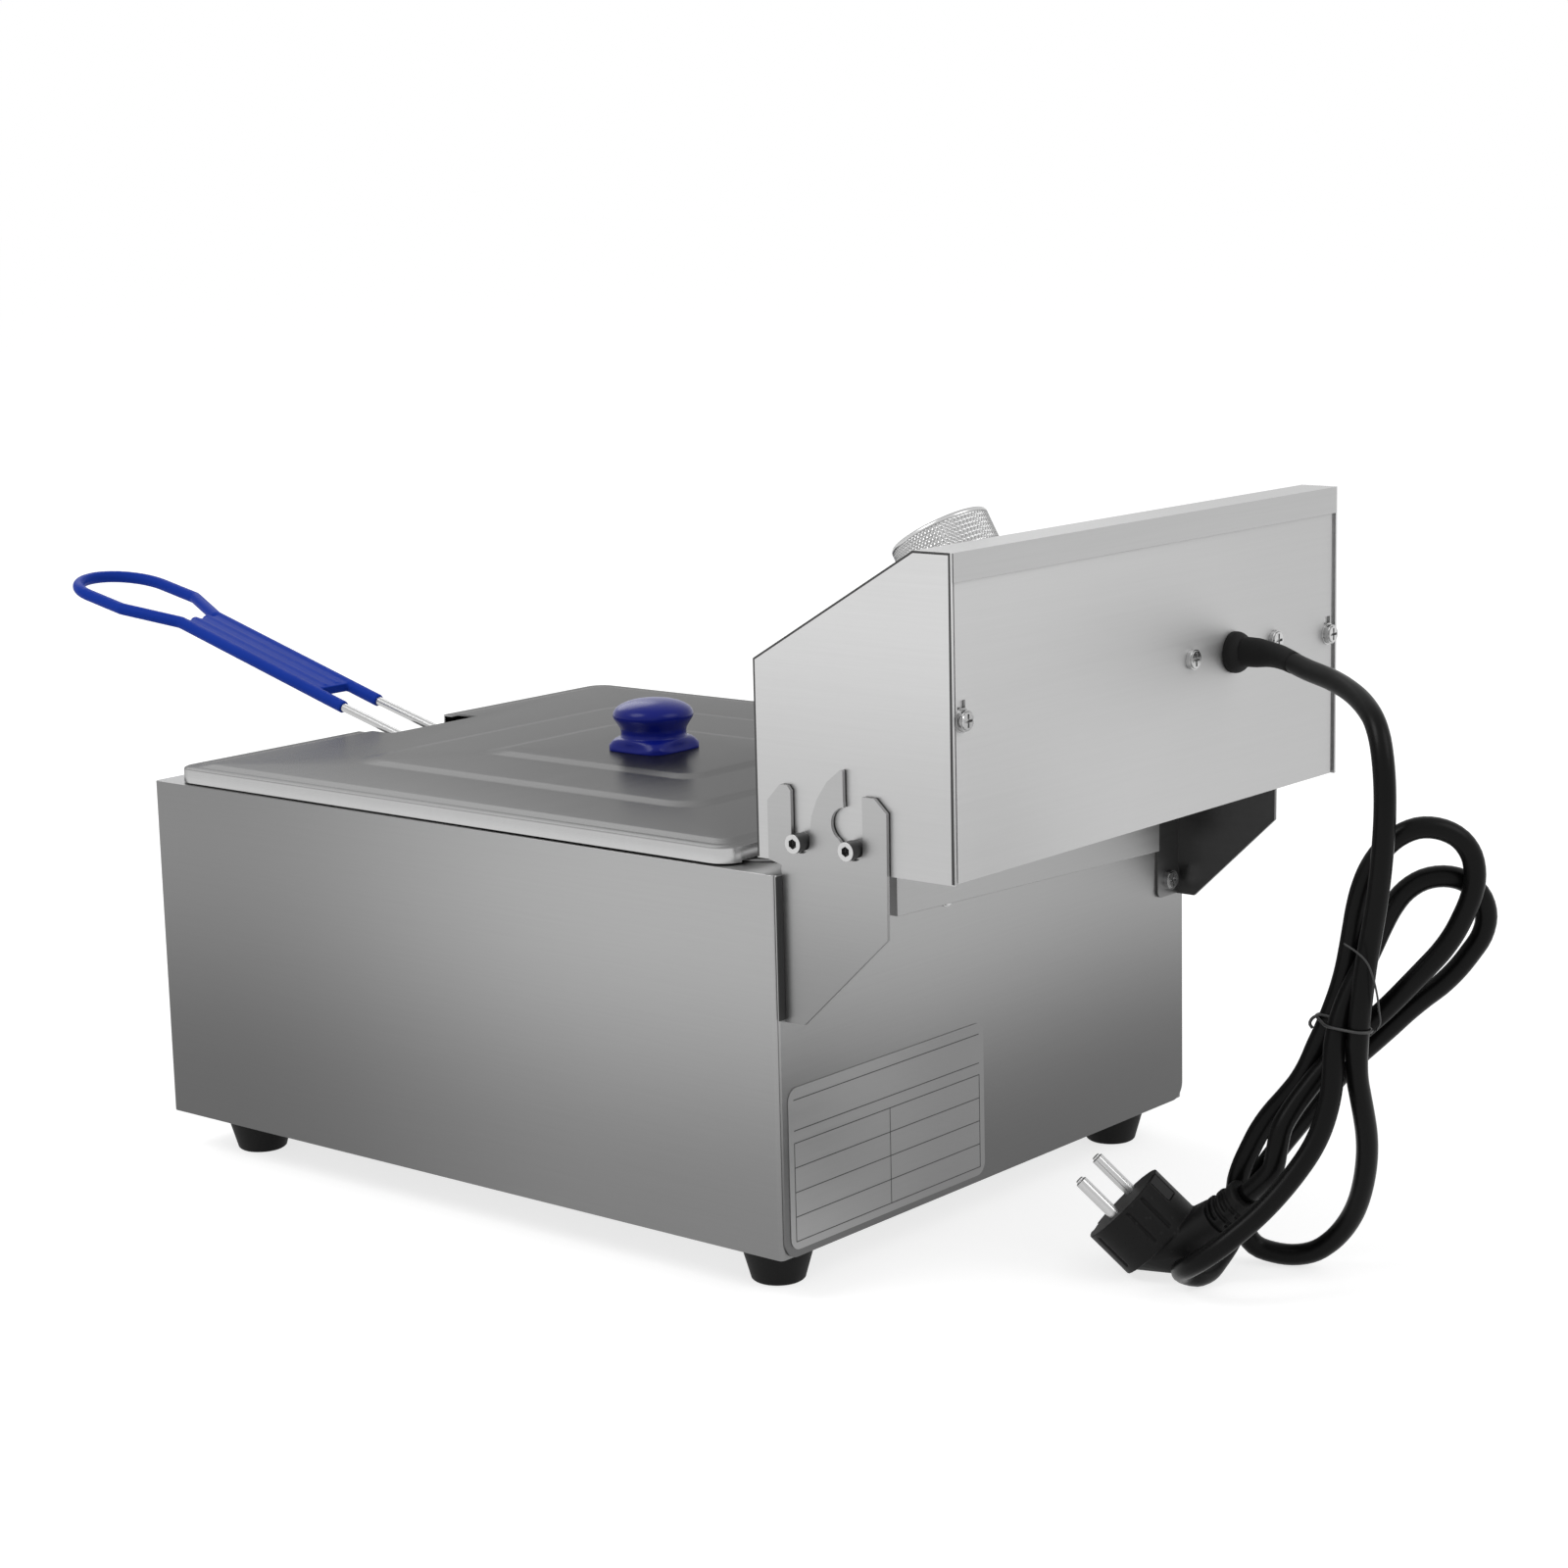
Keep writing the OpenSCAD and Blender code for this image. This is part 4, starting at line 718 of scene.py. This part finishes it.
def lid_knob():
    """A round head on a waist, over a skirt that flares to a rounded square."""
    n = 96
    # height, how square, radius
    rings = [(0.0, 1.0, 16.0), (0.5, 1.0, 16.1), (1.2, 1.0, 15.7), (2.2, 0.85, 15.4), (3.4, 0.6, 15.4),
             (4.5, 0.3, 15.3), (5.1, 0.1, 14.9), (5.4, 0, 14.4), (5.8, 0, 14.15), (7.4, 0, 14.0),
             (8.9, 0, 14.2), (9.5, 0, 14.5), (10.8, 0, 15.3), (12.2, 0, 16.2), (13.4, 0, 16.95),
             (14.2, 0, 17.2), (15.0, 0, 17.25), (16.2, 0, 16.9), (17.6, 0, 15.9), (18.8, 0, 14.2),
             (19.8, 0, 12.0), (20.6, 0, 9.3), (21.1, 0, 6.4), (21.4, 0, 3.2), (21.5, 0, 0.4)]
    foot = Matrix.Translation(P(0, LID_Y, 156.85))
    V = []
    for h, square, r in rings:
        for k in range(n):
            a = 2 * math.pi * k / n
            c, s = abs(math.cos(a)), abs(math.sin(a))
            box = min(1.24, (c ** 5 + s ** 5) ** (-1 / 5))
            q = min(r * (1 + (box - 1) * square), 19.2)
            # the skirt's corners lift off the lid
            lift = 1.1 * square * max(0, box - 1.05) / 0.19 if h > 0.2 else 0
            V.append(foot @ (Vector((q * math.cos(a), q * math.sin(a), h + lift)) / 1000))
    return shade(new("lid_knob_moulded", V, skin(len(rings), n), ["blue_knob"]), 50)


place(lid_knob(), "lid_knob")

# cord grommet with a collar that tapers along the cord, as far as COLLAR behind the exit
hole = Matrix.Translation(P(GROMMET_X, 76.8, 211)) @ Matrix.Rotation(math.radians(-90), 4, "X")
COLLAR = 30
k = int(np.argmax(fine[:, 1] > fine[0][1] + COLLAR))
taper = [float(np.interp(t, (0, 0.25, 0.45, 0.8, 1), (5.9, 5.7, 4.9, 4.35, 4.2))) / 1000
         for t in np.linspace(0, 1, k)]
grommet = join("cord_grommet_taper", [
    lathe("grommet_ring", [(4.4, -2.9), (6.5, -2.9), (6.6, -0.1), (8.1, 0.02), (8.15, 1.6), (7.9, 2.8),
                           (7.3, 3.9), (6.5, 4.8), (5.9, 5.4), (5.3, 6.0), (4.4, 6.2)], hole, 48,
          "rubber_black"),
    tube("collar", fine[:k] / 1000, taper, 32, "rubber_black")])
place(grommet, "cord_grommet")

# coated grip: one smooth body from the CAD shape
grip = remesh(clean("handle_grip", "grip_dipped"), 0.0006, 6)
place(paint(grip, "blue_coat"), "handle_grip")

# ------------------------------------------------------------------ wire mesh of the basket, in mm

BX, BY0, BY1, BZ0, BZ1, BR = 95.5, -283.5, -50.5, 49.3, 137.6, 11.5


def corner_path(x, y0, y1, r, n=6):
    """A rectangle from -x to x and y0 to y1 with rounded corners."""
    out = []
    for cx, cy, a0 in ((x - r, y1 - r, 0), (-x + r, y1 - r, 90),
                       (-x + r, y0 + r, 180), (x - r, y0 + r, 270)):
        for i in range(n + 1):
            a = math.radians(a0 + 90 * i / n)
            out.append((cx + r * math.cos(a), cy + r * math.sin(a)))
    return out


def wire(path, closed=False):
    return tube("wire", path, 0.0005, 5, "wire_steel", closed)


def hoop(side, c):
    """A wire down one wall, across the bottom and up the other."""
    a, b = (-BX, BX) if side == "x" else (BY0, BY1)
    q = [(a, BZ1), (a, BZ0 + 3), (a + 0.9, BZ0 + 0.9), (a + 3, BZ0)]
    q += [(b - 3, BZ0), (b - 0.9, BZ0 + 0.9), (b, BZ0 + 3), (b, BZ1)]
    return [P(u, c, z) if side == "x" else P(c, u, z) for u, z in q]


outline = corner_path(BX, BY0, BY1, BR)
wires = [wire([P(x, y, z) for x, y in outline], True) for z in np.arange(BZ0 + 3, BZ1, 6.3)]
wires += [wire(hoop("x", c)) for c in np.arange(BY0 + BR, BY1 - BR + 1, 6.56)]
wires += [wire(hoop("y", c)) for c in np.arange(-BX + BR, BX - BR + 1, 6.4)]
for deg in (15, 45, 75):
    # three wires in each corner, bent in at the bottom
    a = math.radians(deg)
    for x, y in ((1, 1), (1, -1), (-1, 1), (-1, -1)):
        cx, cy = x * (BX - BR), (BY1 - BR if y > 0 else BY0 + BR)
        q = Vector((x * math.cos(a), y * math.sin(a), 0)) * BR / 1000
        wires.append(wire([P(cx, cy, BZ1) + q, P(cx, cy, BZ0 + 4) + q, P(cx, cy, BZ0 + 1) + q * 0.86,
                           P(cx, cy, BZ0 + 0.2) + q * 0.6]))
place(join("basket_wire_mesh", wires), "basket_mesh")

# ------------------------------------------------------------------ label and dial, in mm


def plate(name, M, w, h, r, t, mat):
    """A flat plate with rounded corners, from its back face up."""
    loop = corner_path(w / 2, -h / 2, h / 2, r)
    V = [M @ (Vector((x, y, z)) / 1000) for z in (0, t) for x, y in loop]
    k = len(loop)
    F = [tuple(reversed(range(k))), tuple(range(k, 2 * k))]
    F += [(i, (i + 1) % k, k + (i + 1) % k, k + i) for i in range(k)]
    return new(name, V, F, [mat], False)


def line(M, x0, x1, y0, y1, z, mat):
    """A printed line: a thin bar on a plate."""
    v, f = block(x0, x1, y0, y1, z, z + 0.05)
    return new("line", [M @ (Vector(q) / 1000) for q in v], f, [mat], False)


facing_back = Matrix(((-1, 0, 0), (0, 0, 1), (0, 1, 0))).transposed().to_4x4()
LABEL = Matrix.Translation(P(70.5, 0.02, 34.25)) @ facing_back
ruled = [(-57.4, 57.4, y - 0.2, y + 0.2) for y in (-28, -18.5, -9, 0.5, 10)]
ruled += [(x - 0.2, x + 0.2, -28, 10) for x in (-57.4, 0, 57.4)]
ruled += [(-57.4, 57.4, 26.4, 26.8), (-57.4, 57.4, 14.6, 15.0)]
parts = [plate("label", LABEL, 121, 62.5, 5, 0.28, "label_steel")]
parts += [line(LABEL, *cell, 0.26, "label_ink") for cell in ruled]
place(join("rating_plate", parts), "label_plate")


def number(text, M, size):
    """Raised figures as a mesh, centred on the frame M; size in m."""
    cu = bpy.data.curves.new("number", "FONT")
    cu.body, cu.size, cu.extrude = text, size, 0.00002
    cu.align_x, cu.align_y = "CENTER", "CENTER"
    ob = bpy.data.objects.new("number", cu)
    COL.objects.link(ob)
    C.view_layer.update()
    me = bpy.data.meshes.new_from_object(ob.evaluated_get(C.evaluated_depsgraph_get()))
    bpy.data.objects.remove(ob, do_unlink=True)
    ob = bpy.data.objects.new("number", me)
    COL.objects.link(ob)
    me.transform(M)
    return paint(ob, "ink")


dial = slope(KNOB_X, KNOB_D, 0.02)
parts = [lathe("dial", [(27.6, 0), (28, 0.15), (28, 0.5), (27.8, 0.6), (4.2, 0.6)], dial, 96, "dial_white")]
for i in range(16):
    tick = dial @ Matrix.Rotation(-math.radians(-135 + 18 * i), 4, "Z")
    parts.append(line(tick, -0.25, 0.25, 22.6, 24.2 if i % 3 else 25.0, 0.58, "ink"))
for i, degrees in enumerate((50, 80, 110, 140, 170, 190)):
    a = math.radians(-135 + 54 * i)
    spot = Matrix.Translation(Vector((26.4 * math.sin(a), 26.4 * math.cos(a), 0.6)) / 1000)
    parts.append(number(str(degrees), dial @ spot @ Matrix.Rotation(-a, 4, "Z"), 0.0031))
place(join("dial_scale", parts), "dial_plate")

# ------------------------------------------------------------------ lid, in mm


def lid():
    """A pressed lid: nested rounded outlines joined by soft slopes, with a lip and a notch."""
    # half width, half length, corner radius, height
    rings = [(133, 156.5, 9, -6.2), (133, 156.5, 9, -0.9), (132.75, 156.25, 8.8, -0.3), (132.1, 155.6, 8.2, 0),
             (128.6, 152.1, 7, 0), (127.6, 151.1, 6.5, 0.1), (124, 147.5, 6, 0.85), (122.6, 146.1, 6, 1.0),
             (88.5, 100.5, 15, 1.0), (86.5, 98.5, 15, 1.12), (82, 94, 14, 1.85), (80, 92, 14, 2.0),
             (46.5, 62.5, 10, 2.0), (44.5, 60.5, 10, 2.12), (40, 56, 9, 2.88), (38, 54, 9, 3.0),
             (20, 28, 6, 3.0), (6, 8, 4, 3.0)]
    V = []
    for hx, hy, r, z in rings:
        loop = corner_path(hx, LID_Y - hy, LID_Y + hy, min(r, hx - 1, hy - 1), 8)
        V += [P(x, y, LID_Z + z) for x, y in loop]
    ob = new("lid_pressed", V, skin(len(rings), len(loop), False), ["lid_steel"])
    s = ob.modifiers.new("solid", "SOLIDIFY")
    s.thickness, s.offset, s.use_even_offset = 0.0008, -1, True
    bake(ob)
    # the notch for the handle, and a low relief in the rear lip
    v, f = gather([block(-27, 27, -338, -315, 140, 170), block(-125, 125, -26, -23, 147, 148.3)])
    carve(ob, new("cutter", [P(*q) for q in v], f))
    return shade(ob, 30)


place(lid(), "lid_panel")

# ------------------------------------------------------------------ dark edging, and strips of painted shade, in mm


def edging():
    """A dark bead along the edges of both of the head's sides, from (y, height above its underside)."""
    outer = [(-12.9, 0.4), (-12.9, 73.8), (61, 117), (77.4, 117), (77.4, 0.4)]
    inner = [(-12.1, 0.4), (-12.1, 73.34), (61.2, 116.2), (76.5, 116.2), (76.1, 0.4)]
    obs = []
    for s in (-1, 1):
        V = [P(s * x, y, HEAD_Z + z) for x in (129.02, 128.4) for y, z in outer + inner]
        F = []
        for a in range(4):
            b, c, d = a + 1, a + 6, a + 5
            F += [(a, b, c, d), (a + 10, d + 10, c + 10, b + 10),
                  (a, a + 10, b + 10, b), (d, c, c + 10, d + 10)]
        F += [(0, 5, 15, 10), (4, 14, 19, 9)]
        obs.append(new("edge", V, F, ["ink"], False))
    return join("head_edge_dark_bead", obs)


dark_bead = edging()
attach(dark_bead, "head")
# painted shade: dark strips put in the shaded margins between the casing's corners and the hinge plates
V, F = gather([block(a, b, 0.02, 0.3, 92.5, 146.5) for a, b in ((131.1, 134.7), (-134.7, -131.1))])
strips = new("corner_shade_strips", [P(*v) for v in V], F, ["ink"], False)
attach(strips, "main")

# ------------------------------------------------------------------ small parts with softened edges

for node, name, w in (("feet", "rubber_feet", WIDE_EDGE), ("rear_panel_screws", "apron_screws", FINE_EDGE),
                      ("bracket_screws", "flange_screws", FINE_EDGE),
                      ("head_panel_screws", "keyhole_screws", FINE_EDGE),
                      ("clamp_screws", "cord_clamp_screws", FINE_EDGE), ("pivot_pins", "hinge_pins", 0.0004),
                      ("power_lamp", "power_lens", EDGE), ("heating_lamp", "heating_lens", EDGE),
                      ("reset_button", "reset_cap", EDGE)):
    ob = soften(node, name, w)
    if node == "pivot_pins":
        # painted shade by facing: shanks and head sides painted black, socket faces left bright
        paint_part(ob, "bakelite", lambda n: abs(n.x) < 0.6)

# ------------------------------------------------------------------ studio


def seen(tree):
    """1 for rays from the camera, mirror-like surfaces and glass, 0 for rays that carry soft light."""
    path = tree.nodes.new("ShaderNodeLightPath")
    value = path.outputs["Is Camera Ray"]
    for kind in ("Is Glossy Ray", "Is Transmission Ray"):
        m = tree.nodes.new("ShaderNodeMath")
        m.operation = "MAXIMUM"
        tree.links.new(value, m.inputs[0])
        tree.links.new(path.outputs[kind], m.inputs[1])
        value = m.outputs[0]
    return value


# the world: white as a background, weaker as light
world = bpy.data.worlds.new("world")
C.scene.world = world
world.use_nodes = True
wt = world.node_tree
bg = wt.nodes["Background"]
bg.inputs["Color"].default_value = (1, 1, 1, 1)
mr = wt.nodes.new("ShaderNodeMapRange")
mr.inputs["To Min"].default_value, mr.inputs["To Max"].default_value = 0.62, 1.0
wt.links.new(seen(wt), mr.inputs["Value"])
wt.links.new(mr.outputs[0], bg.inputs["Strength"])

# the floor: plain under soft light, seen as a glow close to white with soft shadows
white = MAT["floor_white"]
t = white.t
glow = t.nodes.new("ShaderNodeEmission")
glow.inputs["Strength"].default_value = 0.74
shadowed = t.nodes.new("ShaderNodeBsdfDiffuse")
shadowed.inputs["Color"].default_value = (0.42, 0.42, 0.42, 1)
both = t.nodes.new("ShaderNodeAddShader")
t.links.new(glow.outputs[0], both.inputs[0])
t.links.new(shadowed.outputs[0], both.inputs[1])
ms = t.nodes.new("ShaderNodeMixShader")
t.links.new(seen(t), ms.inputs[0])
t.links.new(white.b.outputs[0], ms.inputs[1])
t.links.new(both.outputs[0], ms.inputs[2])
t.links.new(ms.outputs[0], t.nodes["Material Output"].inputs["Surface"])
floor = new("floor", [(-20, -20, 0), (20, -20, 0), (20, 20, 0), (-20, 20, 0)], [(0, 1, 2, 3)],
            ["floor_white"], False)


def lamp(name, loc, size, power):
    """A round soft light that points at the part."""
    d = bpy.data.lights.new(name, "AREA")
    d.shape, d.size, d.energy = "DISK", size, power
    o = bpy.data.objects.new(name, d)
    COL.objects.link(o)
    o.location = loc
    o.rotation_euler = (Vector((0, 0, 0.1)) - Vector(loc)).to_track_quat("-Z", "Y").to_euler()


lamp("key", (1.6, -0.6, 2.2), 1.4, 26)
lamp("fill", (-0.4, 2.2, 1.8), 1.6, 14)
lamp("front", (-1.2, -2.0, 1.6), 1.6, 12)

C.scene.view_settings.view_transform = "Standard"
